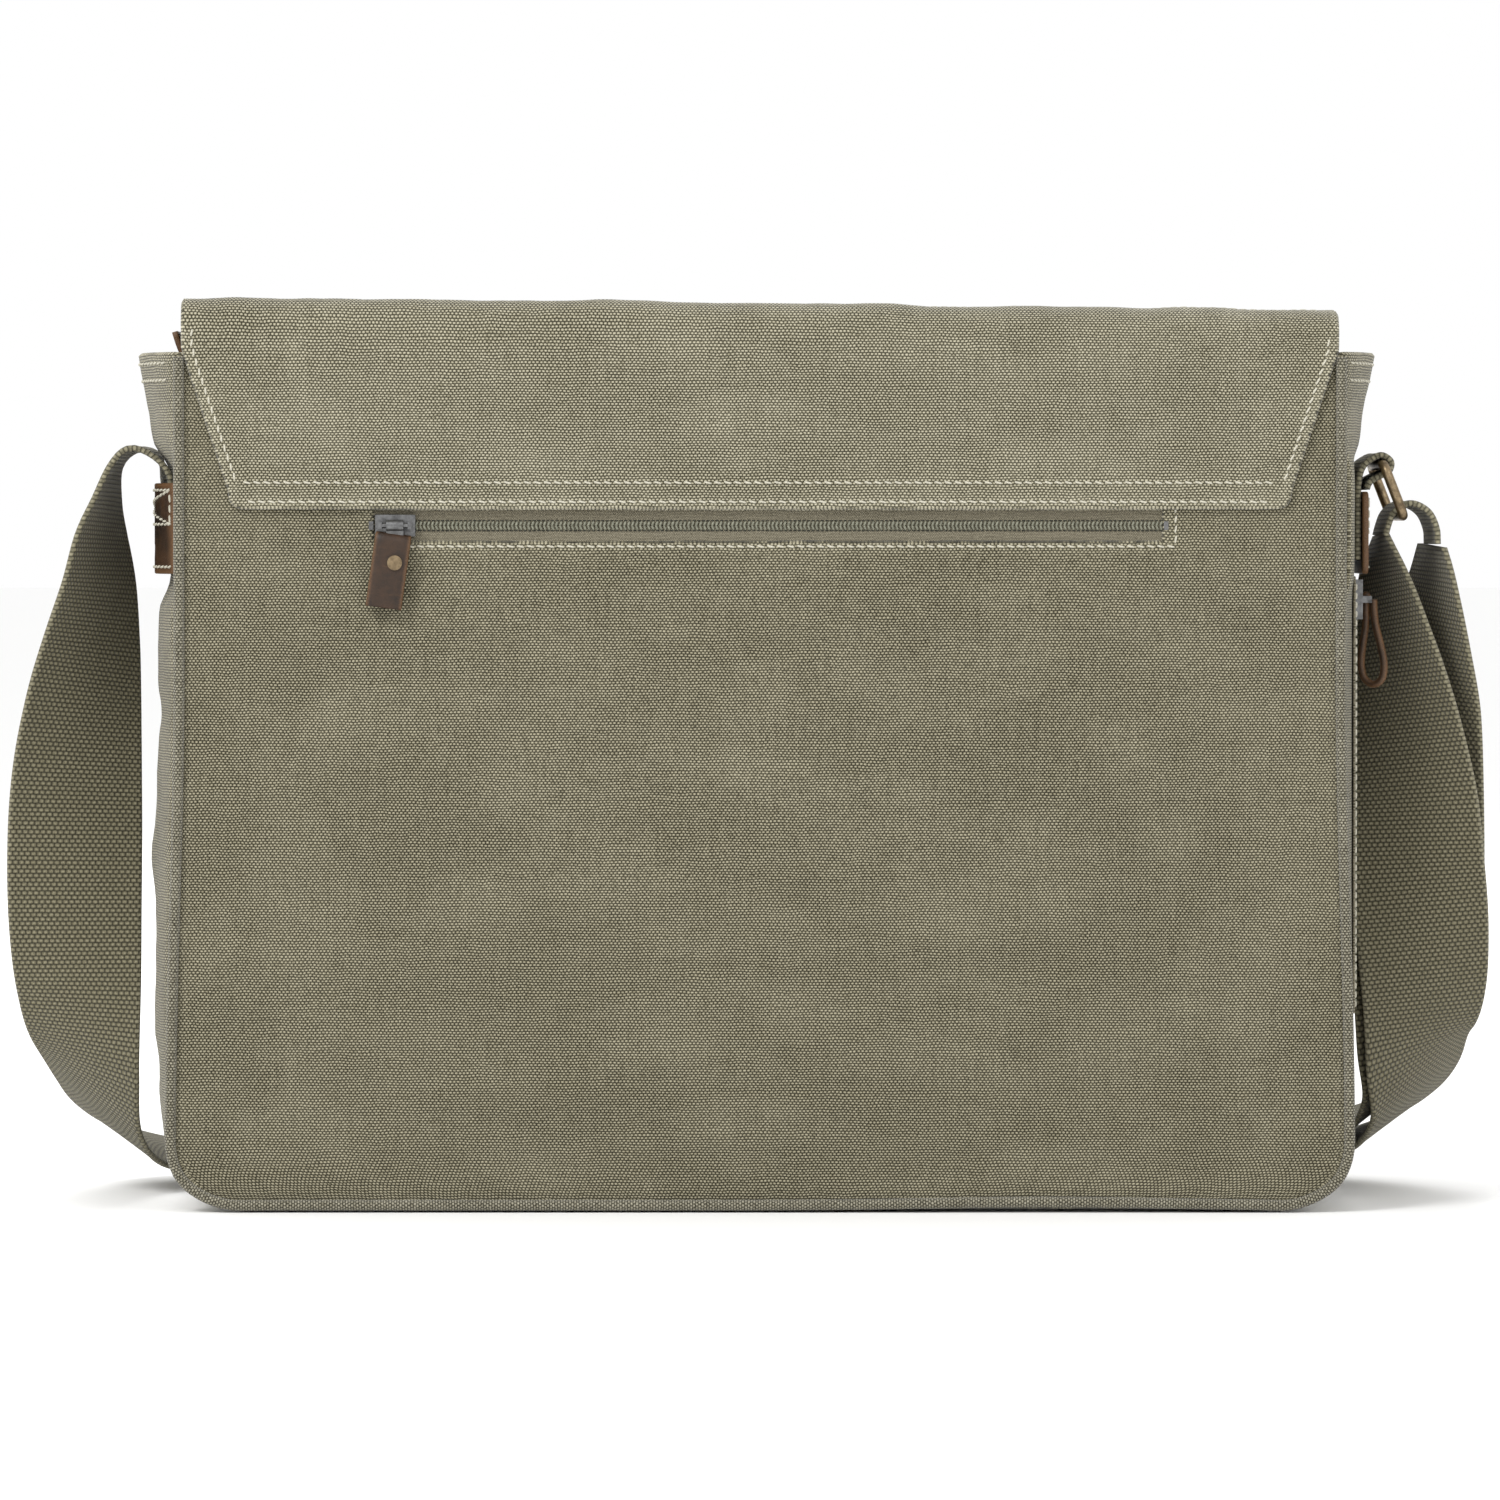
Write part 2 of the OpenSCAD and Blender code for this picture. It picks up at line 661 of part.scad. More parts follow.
back_panel();
front_panel();
left_gusset();
right_gusset();
base_gusset();
back_piping();
front_piping();
lining();
laptop_divider();
back_pocket_bag();
flap_yoke();
flap_ridge();
flap_top();
flap_front();
closure_tab(1);  // left_closure_tab
closure_tab(-1);  // right_closure_tab
closure_strap(1);  // left_closure_strap
closure_strap(-1);  // right_closure_strap
closure_rivets();
snap_stud(1);  // left_snap_stud
snap_stud(-1);  // right_snap_stud
snap_sockets();
front_pocket(1);  // left_pocket
front_pocket(-1);  // right_pocket
back_zip_tape();
back_zip_coil();
back_zip_stops();
back_slider();
back_pull_link();
back_pull_tab();
back_pull_rivet();
rear_zip_band();
rear_zip_coil();
front_zip_band();
front_zip_coil();
zip_end_patch();
zip_end_coil();
zip_tail();
main_slider();
main_pull_link();
main_pull_tab();
main_pull_rivet();
side_zip_tape();
side_zip_coil();
side_slider();
side_pull_loop();
left_strap_tab();
right_ring_tab();
ring_loop();
strap_ring();
strap_fold();
strap_main();
strap_return();
adjuster_frame();
adjuster_bar();
strap_end_fold();
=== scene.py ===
import math

import bmesh
import bpy
import numpy as np
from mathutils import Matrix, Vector, noise


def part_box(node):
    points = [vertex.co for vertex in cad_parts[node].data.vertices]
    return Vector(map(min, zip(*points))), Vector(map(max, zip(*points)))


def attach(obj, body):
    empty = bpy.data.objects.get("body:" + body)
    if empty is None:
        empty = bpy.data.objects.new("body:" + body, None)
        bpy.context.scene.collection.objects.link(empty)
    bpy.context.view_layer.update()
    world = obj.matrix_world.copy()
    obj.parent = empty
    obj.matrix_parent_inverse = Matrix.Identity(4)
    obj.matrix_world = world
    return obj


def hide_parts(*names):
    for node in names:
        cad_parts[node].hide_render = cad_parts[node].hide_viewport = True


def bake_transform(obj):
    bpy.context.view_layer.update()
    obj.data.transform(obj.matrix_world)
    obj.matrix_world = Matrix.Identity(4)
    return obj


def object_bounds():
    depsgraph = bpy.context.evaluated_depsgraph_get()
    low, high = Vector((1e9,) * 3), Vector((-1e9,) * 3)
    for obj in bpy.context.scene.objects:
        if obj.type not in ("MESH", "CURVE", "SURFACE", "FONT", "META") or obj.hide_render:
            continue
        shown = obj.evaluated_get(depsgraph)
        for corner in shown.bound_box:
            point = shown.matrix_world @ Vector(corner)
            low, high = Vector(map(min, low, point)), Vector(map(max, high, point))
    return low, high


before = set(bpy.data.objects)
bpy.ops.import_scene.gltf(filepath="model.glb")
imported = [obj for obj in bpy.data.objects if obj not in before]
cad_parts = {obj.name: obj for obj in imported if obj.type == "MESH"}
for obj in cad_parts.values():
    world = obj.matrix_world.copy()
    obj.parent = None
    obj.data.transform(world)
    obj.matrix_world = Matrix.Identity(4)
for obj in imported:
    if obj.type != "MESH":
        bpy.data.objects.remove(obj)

cad_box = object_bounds()
MM = 0.001
SIDES = (("left", 1), ("right", -1))


# ---- camera and floor


def make_camera():
    """A long lens behind the bag, a little above it."""
    target = Vector((0.0035, 0.055, 0.1615))
    distance, frame_width, elevation = 2.75, 0.525, math.radians(1.6)
    data = bpy.data.cameras.new("camera")
    data.sensor_width = 36
    data.lens = data.sensor_width * distance / frame_width
    data.clip_end = 50
    camera = bpy.data.objects.new("camera", data)
    camera.location = target + distance * Vector((0, math.cos(elevation), math.sin(elevation)))
    camera.rotation_euler = (target - camera.location).to_track_quat("-Z", "Y").to_euler()
    bpy.context.scene.collection.objects.link(camera)
    bpy.context.scene.camera = camera


make_camera()


# ---- nodes for materials


class Nodes:
    """A short way to write a node tree: each call adds one node and returns its output."""

    def __init__(self, name):
        self.material = bpy.data.materials.new(name)
        self.material.use_nodes = True
        self.tree = self.material.node_tree
        self.shader = self.tree.nodes["Principled BSDF"]

    def add(self, kind, inputs=(), output=0, **settings):
        node = self.tree.nodes.new(kind)
        for key, value in settings.items():
            setattr(node, key, value)
        for key, value in dict(inputs).items():
            self.put(node.inputs[key], value)
        return node.outputs[output]

    def put(self, socket, value):
        if isinstance(value, bpy.types.NodeSocket):
            self.tree.links.new(value, socket)
        else:
            socket.default_value = value

    def math(self, operation, a, b=0.0):
        return self.add("ShaderNodeMath", {0: a, 1: b, 2: 0.0}, operation=operation)

    def times(self, a, b):
        return self.math("MULTIPLY", a, b)

    def plus(self, a, b):
        return self.math("ADD", a, b)

    def vector(self, operation, a, b=(0, 0, 0)):
        return self.add("ShaderNodeVectorMath", {0: a, 1: b}, operation=operation)

    def cloth(self, scale=(1, 1, 1)):
        """The piece's own flat coordinates in millimetres, scaled. Z is the distance from its edge."""
        flat = self.add("ShaderNodeAttribute", output="Vector", attribute_name="cloth")
        return self.vector("MULTIPLY", flat, scale)

    def place(self, scale=1000.0):
        """The point on the model in millimetres times scale / 1000"""
        here = self.add("ShaderNodeTexCoord", output="Object")
        return self.vector("MULTIPLY", here, (scale, scale, scale))

    def noise(self, where, scale, detail=3.0, rough=0.55):
        return self.add("ShaderNodeTexNoise",
                        {"Vector": where, "Scale": scale, "Detail": detail, "Roughness": rough})

    def span(self, value, low, high, to_low=0.0, to_high=1.0):
        return self.add("ShaderNodeMapRange", {0: value, 1: low, 2: high, 3: to_low, 4: to_high})

    def mix(self, factor, a, b, blend="MIX"):
        node = self.tree.nodes.new("ShaderNodeMix")
        node.data_type = "RGBA"
        node.blend_type = blend
        for key, value in ((0, factor), (6, a), (7, b)):
            self.put(node.inputs[key], (*value, 1) if isinstance(value, tuple) else value)
        return node.outputs[2]

    def finish(self, color, rough, height=None, strength=1.0, depth=0.3, **sockets):
        """Sets the shader. height is bump in units of depth millimetres."""
        self.put(self.shader.inputs["Base Color"], color)
        self.put(self.shader.inputs["Roughness"], rough)
        if height is not None:
            bump = self.add("ShaderNodeBump", {"Height": height, "Strength": strength,
                                               "Distance": depth * MM}, output="Normal")
            self.put(self.shader.inputs["Normal"], bump)
        for key, value in sockets.items():
            self.shader.inputs[key.replace("_", " ")].default_value = value
        return self.material


def weave_cells(n, where, brick=False):
    """Bumps of a plain weave, one for each crossing: 0 in the gaps, 1 on the threads."""
    parts = n.add("ShaderNodeSeparateXYZ", {0: where}, output="X").node
    across, along = parts.outputs["X"], parts.outputs["Y"]
    if brick:
        row = n.math("FLOOR", along)
        across = n.plus(across, n.times(row, 0.5))
    waves = [n.math("ABSOLUTE", n.math("SINE", n.times(v, math.pi)))
             for v in (across, along)]
    return n.times(waves[0], waves[1])


def canvas_material(name, dark, mid, light, pitch=(1.35, 0.95), fade=0.28):
    """Washed cotton canvas: coarse weave with painted shade in its gaps and a painted highlight on its
    thread crowns, slubs, chalky worn blotches and paler edges.
    """
    n = Nodes(name)
    flat = n.cloth()
    wobble = n.add("ShaderNodeTexNoise", {"Vector": flat, "Scale": 0.09, "Detail": 2.0}, output="Color")
    bent = n.vector("ADD", flat, n.vector("MULTIPLY", wobble, (1.2, 1.2, 0)))
    cells = weave_cells(n, n.vector("MULTIPLY", bent, (1 / pitch[0], 1 / pitch[1], 0)), brick=True)
    slubs_up = n.noise(n.cloth((0.9, 0.05, 0)), 1.0, 2.0)
    slubs_across = n.noise(n.cloth((0.05, 1.2, 0)), 1.0, 2.0)
    slubs = n.times(n.plus(slubs_up, slubs_across), 0.5)
    speckle = n.noise(n.cloth(), 1.1, 2.0, 0.7)
    blotch = n.noise(n.cloth(), 0.021, 5.0, 0.62)
    streak = n.noise(n.cloth((0.012, 0.05, 0)), 1.0, 4.0, 0.6)
    wear = n.span(n.plus(blotch, n.times(streak, 0.5)), 0.66, 0.98)
    edge = n.add("ShaderNodeSeparateXYZ", {0: n.cloth()}, output="Z")
    rim = n.times(n.span(edge, 0.0, 5.0, 1.0, 0.0), n.span(speckle, 0.35, 0.6))
    lift = n.plus(n.times(wear, fade), n.times(rim, 0.45))
    thread = n.times(cells, n.span(speckle, 0.3, 0.7, 0.5, 1.3))
    thread = n.times(thread, n.span(slubs, 0.35, 0.65, 0.85, 1.15))
    # Painted shade: the dark colour fills the gaps between the threads. Painted highlight: the light colour
    # lies on the thread crowns, and there is more of it where the canvas is worn chalky.
    base = n.mix(n.span(thread, 0.06, 0.42), dark, mid)
    chalk_and_highlight = n.times(n.span(thread, 0.3, 0.8), n.span(lift, 0.0, 1.0, 0.55, 1.0))
    color = n.mix(chalk_and_highlight, base, light)
    color = n.mix(n.times(lift, 0.22), color, light)
    height = n.plus(cells, n.times(slubs, 0.7))
    return n.finish(color, n.span(thread, 0, 1, 0.95, 0.82), height, 0.9, 0.36,
                    Sheen_Weight=0.25, Sheen_Roughness=0.5, Specular_IOR_Level=0.15)


def webbing_material(name, dark, mid, light):
    """Heavy cotton webbing: bricks of oval cells with painted shade in their gaps and a painted highlight on
    their crowns, and a rope-like edge with a painted highlight along it
    """
    n = Nodes(name)
    flat = n.cloth()
    cells = weave_cells(n, n.vector("MULTIPLY", flat, (1 / 2.1, 1 / 1.55, 0)), brick=True)
    rounded = n.math("POWER", cells, 0.5)
    speckle = n.noise(n.cloth(), 1.6, 2.0, 0.7)
    tone = n.noise(n.cloth((0.03, 0.012, 0)), 1.0, 4.0)
    thread = n.times(rounded, n.span(speckle, 0.25, 0.75, 0.6, 1.2))
    # Painted shade: the dark colour fills the gaps between the cells. Painted highlight: the light colour
    # lies on the cells' crowns.
    base = n.mix(n.span(thread, 0.2, 0.85), dark, mid)
    color = n.mix(n.times(n.span(thread, 0.7, 1.15), n.span(tone, 0.3, 0.7, 0.25, 0.8)),
                  base, light)
    edge = n.add("ShaderNodeSeparateXYZ", {0: n.cloth()}, output="Z")
    # Painted highlight: the colour turns lighter within 1.6 mm of the edges, where the rounded edge catches
    # the light.
    color = n.mix(n.times(n.span(edge, 0.0, 1.6, 0.5, 0.0), rounded), color, light)
    return n.finish(color, 0.88, rounded, 0.9, 0.45, Sheen_Weight=0.15, Specular_IOR_Level=0.18)


def leather_material(name, dark, mid, worn):
    """Waxed pull-up leather: mottled, scuffed, and paler where it is creased or cut"""
    n = Nodes(name)
    blotch = n.noise(n.place(), 0.09, 5.0, 0.65)
    grain = n.add("ShaderNodeTexVoronoi", {"Vector": n.place(), "Scale": 1.7}, feature="F1")
    fine = n.noise(n.place(), 3.2, 3.0, 0.7)
    scuff = n.noise(n.vector("MULTIPLY", n.place(), (0.25, 0.25, 1.6)), 0.5, 4.0, 0.7)
    edge = n.add("ShaderNodeSeparateXYZ", {0: n.cloth()}, output="Z")
    color = n.mix(n.span(blotch, 0.35, 0.7), dark, mid)
    rubbed = n.plus(n.span(edge, 0.0, 1.3, 0.75, 0.0), n.span(scuff, 0.62, 0.85, 0.0, 0.55))
    color = n.mix(n.times(rubbed, n.span(fine, 0.3, 0.6)), color, worn)
    height = n.plus(n.times(grain, 0.7), n.times(fine, 0.6))
    return n.finish(color, n.span(fine, 0.3, 0.7, 0.42, 0.62), height, 0.5, 0.18,
                    Specular_IOR_Level=0.4)


def metal_material(name, shade, tarnish, rough, polish=0.5):
    """Plated metal, tarnished in patches, with fine scratches"""
    n = Nodes(name)
    patch = n.noise(n.place(), 0.35, 5.0, 0.7)
    scratch = n.noise(n.vector("MULTIPLY", n.place(), (0.4, 0.4, 6.0)), 1.0, 2.0)
    color = n.mix(n.span(patch, 0.4, 0.65), shade, tarnish)
    gloss = n.plus(n.span(patch, 0.35, 0.7, rough, rough + 0.2),
                   n.span(scratch, 0.4, 0.7, 0.0, 0.1))
    return n.finish(color, gloss, scratch, 0.15, 0.05, Metallic=1.0, Specular_IOR_Level=polish)


def thread_material(name, shade):
    """Twisted sewing thread"""
    n = Nodes(name)
    twist = n.noise(n.place(), 2.4, 2.0, 0.7)
    color = n.mix(n.span(twist, 0.3, 0.75), tuple(0.62 * c for c in shade), shade)
    return n.finish(color, 0.8, twist, 0.4, 0.15, Specular_IOR_Level=0.2)


def nylon_material(name, dark, light):
    """Dyed nylon coil, a little waxy"""
    n = Nodes(name)
    tone = n.noise(n.place(), 0.8, 3.0)
    return n.finish(n.mix(n.span(tone, 0.3, 0.7), dark, light), 0.45, tone, 0.2, 0.1,
                    Specular_IOR_Level=0.45)


CANVAS = canvas_material("canvas", (0.016, 0.014, 0.007), (0.135, 0.119, 0.069), (0.53, 0.49, 0.355))
# Painted light: a lighter copy of the canvas for the flap, whose top catches the light from above.
LIT_FLAP_CANVAS = canvas_material("flap_canvas_lit", (0.02, 0.018, 0.01), (0.175, 0.157, 0.095), (0.64, 0.6, 0.455))
# Partly painted shade: the piping's canvas is darker than the body's, so that the piped seams read as the
# dark grooves they sit in.
PIPING_SHADED = canvas_material("piping", (0.018, 0.016, 0.009), (0.13, 0.117, 0.075), (0.42, 0.395, 0.31))
LINING = canvas_material("lining", (0.2, 0.175, 0.12), (0.4, 0.36, 0.26), (0.5, 0.46, 0.36),
                         pitch=(0.45, 0.4), fade=0.15)
WEBBING = webbing_material("webbing", (0.03, 0.027, 0.015), (0.19, 0.172, 0.108), (0.34, 0.315, 0.225))
# Painted light: the zip tape's canvas is made lighter than its own colour, to brighten it where it lies in
# the shade of the zip's window.
LIT_TAPE = canvas_material("zip_tape", (0.08, 0.069, 0.043), (0.25, 0.22, 0.15), (0.4, 0.365, 0.27),
                       pitch=(0.6, 0.5), fade=0.1)
LEATHER = leather_material("leather", (0.012, 0.006, 0.0025), (0.052, 0.024, 0.0095), (0.2, 0.1, 0.04))
BRASS = metal_material("antique_brass", (0.3, 0.225, 0.135), (0.13, 0.095, 0.058), 0.3)
NICKEL = metal_material("dark_nickel", (0.2, 0.2, 0.2), (0.09, 0.09, 0.09), 0.28)
THREAD = thread_material("thread", (0.64, 0.61, 0.5))
COIL = nylon_material("zip_coil", (0.12, 0.12, 0.085), (0.24, 0.24, 0.18))
DARK_THREAD = thread_material("coil_thread", (0.05, 0.05, 0.04))


# ---- meshes


def piece(name, points, faces, material, body=None, nodes=(), slot=None, flat=None):
    """A smooth mesh piece from points in millimetres. flat gives its cloth coordinates."""
    mesh = bpy.data.meshes.new(name)
    mesh.from_pydata((np.asarray(points, float).reshape(-1, 3) * MM).tolist(), [], faces)
    mesh.materials.append(material)
    mesh.polygons.foreach_set("use_smooth", [True] * len(mesh.polygons))
    if flat is not None:
        layer = mesh.attributes.new("cloth", "FLOAT_VECTOR", "POINT")
        layer.data.foreach_set("vector", np.asarray(flat, np.float32).ravel())
    obj = bpy.data.objects.new(name, mesh)
    bpy.context.scene.collection.objects.link(obj)
    return fit(obj, body, nodes)


def fit(obj, body=None, nodes=()):
    """Puts a piece on its body, in place of its CAD nodes."""
    if body:
        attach(obj, body)
    if nodes:
        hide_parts(*nodes)
    return obj


def lines(step, *marks):
    """Values from the first mark to the last, at most a step apart, with every mark among them"""
    values = [marks[0]]
    for low, high in zip(marks, marks[1:]):
        count = max(1, math.ceil(abs(high - low) / step - 1e-6))
        values += [low + (high - low) * i / count for i in range(1, count + 1)]
    return np.array(values)


def hem_lines(step, low, high, *marks):
    """Like lines, with closer ones at both ends for a turned hem"""
    inner = [m for m in marks if low + 2.5 < m < high - 2.5]
    return lines(step, low, low + 0.8, low + 2.2, *inner, high - 2.2, high - 0.8, high)


def unit(v):
    return v / np.maximum(np.linalg.norm(v, axis=-1, keepdims=True), 1e-9)


def step01(value, low, high):
    """0 below low, 1 above high, and smooth between them"""
    t = np.clip((np.asarray(value, float) - low) / (high - low), 0, 1)
    return t * t * (3 - 2 * t)


def ripple(a, b, size, seed, octaves=3):
    """Soft noise from about -1 to 1 over two flat coordinates"""
    a, b = np.broadcast_arrays(np.asarray(a, float), np.asarray(b, float))
    values = [noise.fractal(Vector((p / size, q / size, seed)), 0.85, 2.1, octaves)
              for p, q in zip(a.ravel(), b.ravel())]
    return np.array(values).reshape(a.shape)


def crease(a, b, start, end, width, depth):
    """A soft ridge, or a furrow where depth is negative, from start to end"""
    start, end = np.array(start, float), np.array(end, float)
    way = end - start
    length = np.linalg.norm(way)
    way = way / length
    along = ((a - start[0]) * way[0] + (b - start[1]) * way[1]) / length
    across = (a - start[0]) * -way[1] + (b - start[1]) * way[0]
    bend = across + width * 0.7 * np.sin(along * math.pi)
    fade = step01(along, -0.12, 0.3) * (1 - step01(along, 0.7, 1.12))
    return depth * fade * np.exp(-(bend / width) ** 2)


def creased(base, a, b, rows):
    """Adds every crease in the rows: start, end, width and depth"""
    for row in rows:
        base = base + crease(a, b, *row)
    return base


def from_edges(u, v, low, high):
    """The distance to the nearest side of a box seen along Y"""
    return np.minimum(np.minimum(u - low[0], high[0] - u), np.minimum(v - low[2], high[2] - v))


def run_of(line):
    """Each point's distance from the start of a line"""
    return np.concatenate([[0], np.cumsum(np.linalg.norm(np.diff(line, axis=0), axis=1))])


def at_run(at, run, rows):
    """The rows' columns at distances along them"""
    return np.stack([np.interp(at, run, column) for column in rows.T], -1)


def ring_quads(rings, sides):
    """The quads between rings of points that close round"""
    index = np.arange(rings * sides).reshape(rings, sides)
    turned = np.roll(index, -1, axis=1)
    return np.stack([index[:-1], turned[:-1], turned[1:], index[1:]], -1).reshape(-1, 4)


def closed_tube(rings, sides):
    """The faces of a tube with both ends closed"""
    ends = [list(range(sides))[::-1], list(range((rings - 1) * sides, rings * sides))]
    return ring_quads(rings, sides).tolist() + ends


def cell_corners(nu, nv):
    """The four corner indices of each cell in a grid"""
    index = np.arange(nu * nv).reshape(nu, nv)
    return index[:-1, :-1], index[1:, :-1], index[1:, 1:], index[:-1, 1:]


def surface_normals(points):
    across = np.gradient(points, axis=0)
    along = np.gradient(points, axis=1)
    return unit(np.cross(across, along))


def sheet_piece(name, surface, us, vs, thickness, material, body=None, nodes=(), slot=None,
                keep=None, flat=None):
    """A layered sheet of cloth or leather with rounded edges. surface(u, v) gives its outer face, whose
    normal is the u direction crossed with the v direction. keep(u, v) is where it isn't cut away."""
    u, v = np.meshgrid(us, vs, indexing="ij")
    outer = surface(u, v)
    normal = surface_normals(outer)
    inner = outer - normal * thickness
    cell_u, cell_v = (u[:-1, :-1] + u[1:, 1:]) / 2, (v[:-1, :-1] + v[1:, 1:]) / 2
    cells = np.ones(cell_u.shape, bool) if keep is None else keep(cell_u, cell_v)
    nu, nv = u.shape
    a, b, c, d = cell_corners(nu, nv)
    quads = np.stack([a, b, c, d], -1)[cells]
    padded_cells = np.pad(cells, 1)
    rims = []
    for (p, q), (di, dj) in (((a, b), (0, -1)), ((b, c), (1, 0)), ((c, d), (0, 1)), ((d, a), (-1, 0))):
        beyond = padded_cells[1 + di:nu + di, 1 + dj:nv + dj]
        open_side = cells & ~beyond
        rims.append(np.stack([p, q], -1)[open_side])
    rims = np.concatenate(rims)
    flat_outer, flat_inner, flat_normal = (w.reshape(-1, 3) for w in (outer, inner, normal))
    push = np.zeros_like(flat_outer)
    edge_way = flat_outer[rims[:, 1]] - flat_outer[rims[:, 0]]
    outward = unit(np.cross(edge_way, flat_normal[rims[:, 0]]))
    np.add.at(push, rims[:, 0], outward)
    np.add.at(push, rims[:, 1], outward)
    rim_points = np.unique(rims)
    middle = (flat_outer + flat_inner)[rim_points] / 2 + unit(push[rim_points]) * thickness * 0.32
    count = nu * nv
    middle_of = np.zeros(count, int)
    middle_of[rim_points] = 2 * count + np.arange(len(rim_points))
    p, q = rims[:, 0], rims[:, 1]
    walls = np.concatenate([np.stack([q, p, middle_of[p], middle_of[q]], -1),
                            np.stack([middle_of[q], middle_of[p], p + count, q + count], -1)])
    faces = np.concatenate([quads, quads[:, ::-1] + count, walls])
    points = np.concatenate([flat_outer, flat_inner, middle])
    if flat is None:
        edge = np.minimum(np.minimum(u - us[0], us[-1] - u), np.minimum(v - vs[0], vs[-1] - v))
        flat = np.stack([u, v, edge], -1)
    else:
        flat = flat(u, v)
    flat = flat.reshape(-1, 3)
    flats = np.concatenate([flat, flat, flat[rim_points]])
    used, faces = np.unique(faces, return_inverse=True)
    faces = faces.reshape(-1, 4)
    return piece(name, points[used], faces.tolist(), material, body, nodes, slot, flats[used])


def catmull(rows, spacing):
    """A smooth line of about that spacing through the rows, whatever their columns are"""
    rows = np.array(rows, float)
    ext = np.concatenate([[2 * rows[0] - rows[1]], rows, [2 * rows[-1] - rows[-2]]])
    out = []
    for p0, p1, p2, p3 in zip(ext, ext[1:], ext[2:], ext[3:]):
        count = max(1, round(np.linalg.norm((p2 - p1)[:3]) / spacing))
        for t in np.arange(count) / count:
            out.append(0.5 * (2 * p1 + (p2 - p0) * t + (2 * p0 - 5 * p1 + 4 * p2 - p3) * t ** 2
                              + (3 * p1 - p0 - 3 * p2 + p3) * t ** 3))
    return np.array(out + [rows[-1]])


def sweep(name, line, wide, section, material, body=None, nodes=(), slot=None, flat_across=None):
    """A closed section drawn along a line. section is (across, up) pairs, and wide is each point's
    across direction. Both ends are closed."""
    line = np.asarray(line, float)
    way = unit(np.gradient(line, axis=0))
    up = unit(np.cross(wide, way))
    across = np.cross(way, up)
    section = np.asarray(section, float)
    points = line[:, None] + across[:, None] * section[None, :, :1] + up[:, None] * section[None, :, 1:]
    rings, sides = points.shape[:2]
    faces = closed_tube(rings, sides)
    run = run_of(line)
    flats = np.zeros((rings, sides, 3))
    flats[..., 0] = section[:, 0] if flat_across is None else flat_across
    flats[..., 1] = run[:, None]
    flats[..., 2] = np.abs(section[:, 0]).max() - np.abs(section[:, 0])
    return piece(name, points, faces, material, body, nodes, slot, flats)


def webbing_section(width, thickness):
    """Flat webbing with a fuller, rounded edge"""
    half = width / 2
    shape = [(half - 6, 0.86), (half - 2.6, 0.9), (half - 1.3, 1.06), (half - 0.4, 0.72), (half, 0)]
    right = [(a, h * thickness / 2) for a, h in shape]
    middle = [(a, 0.88 * thickness / 2) for a in (half * 0.45, 0, -half * 0.45)]
    top = [(-a, h) for a, h in right[:-1]] + [(-half, 0)]
    upper = [right[-1], *right[-2::-1], *middle, *top[:-1]]
    lower = [(-a, -h) for a, h in upper]
    return upper + lower


def round_section(radius, sides=12):
    return [(radius * math.cos(2 * math.pi * i / sides), radius * math.sin(2 * math.pi * i / sides))
            for i in range(sides)]


def tube(name, rows, radius, material, spacing=2.5, **where):
    """A round cord through the rows, in millimetres"""
    line = catmull(rows, spacing)
    way = unit(np.gradient(line, axis=0))
    wide = [np.cross(way[0], (0.31, 0.52, 0.79))]
    for step in way[1:]:
        wide.append(wide[-1] - step * np.dot(wide[-1], step))
    ring = round_section(radius)
    turns = [radius * 2 * math.pi * i / len(ring) for i in range(len(ring))]
    return sweep(name, line, unit(np.array(wide)), ring, material, flat_across=turns, **where)


def stitches(name, runs, body=None, pitch=3.5, length=2.7, width=0.85, height=0.5, slant=11,
             material=None):
    """Rows of top-stitching as one mesh. Each run is (points, normals) along a seam, close together."""
    along = [-0.5, -0.42, -0.25, 0.25, 0.42, 0.5]
    swell = [0.25, 0.75, 1.0, 1.0, 0.75, 0.25]
    sides = 6
    ring = np.array([(math.cos(math.tau * i / sides), math.sin(math.tau * i / sides)) for i in range(sides)])
    shape = np.array([[(a * length, w * c[0] * width / 2, c[1] * w * height) for c in ring]
                      for a, w in zip(along, swell)]).reshape(-1, 3)
    faces = closed_tube(len(along), sides)
    points, all_faces = [], []
    lean = math.radians(slant)
    for path, normals in runs:
        path, normals = np.asarray(path, float), np.asarray(normals, float)
        run = run_of(path)
        for at in np.arange(pitch / 2, run[-1], pitch):
            spot = at_run(at, run, path)
            up = unit(at_run(at, run, normals))
            way = unit(at_run(min(at + 1, run[-1]), run, path) - at_run(max(at - 1, 0), run, path))
            side = np.cross(up, way)
            turned = (way * math.cos(lean) + side * math.sin(lean),
                      side * math.cos(lean) - way * math.sin(lean))
            start = len(points) * len(along) * sides
            points.append(spot + shape @ np.array([*turned, up]))
            all_faces += [[i + start for i in face] for face in faces]
    return piece(name, np.concatenate(points), all_faces, material or THREAD, body)


def seam(surface, path, lift=0.12, spacing=1.5):
    """A stitch run on a surface, along a path of its flat coordinates"""
    path = np.array(path, float)
    runs = [path[:1]]
    for p, q in zip(path, path[1:]):
        count = max(1, math.ceil(np.linalg.norm(q - p) / spacing))
        runs.append(p + (q - p) * (np.arange(1, count + 1) / count)[:, None])
    path = np.concatenate(runs)
    u, v = path[:, 0], path[:, 1]
    here = surface(u, v)
    across = surface(u + 0.5, v) - surface(u - 0.5, v)
    along = surface(u, v + 0.5) - surface(u, v - 0.5)
    normal = unit(np.cross(across, along))
    return here + normal * lift, normal


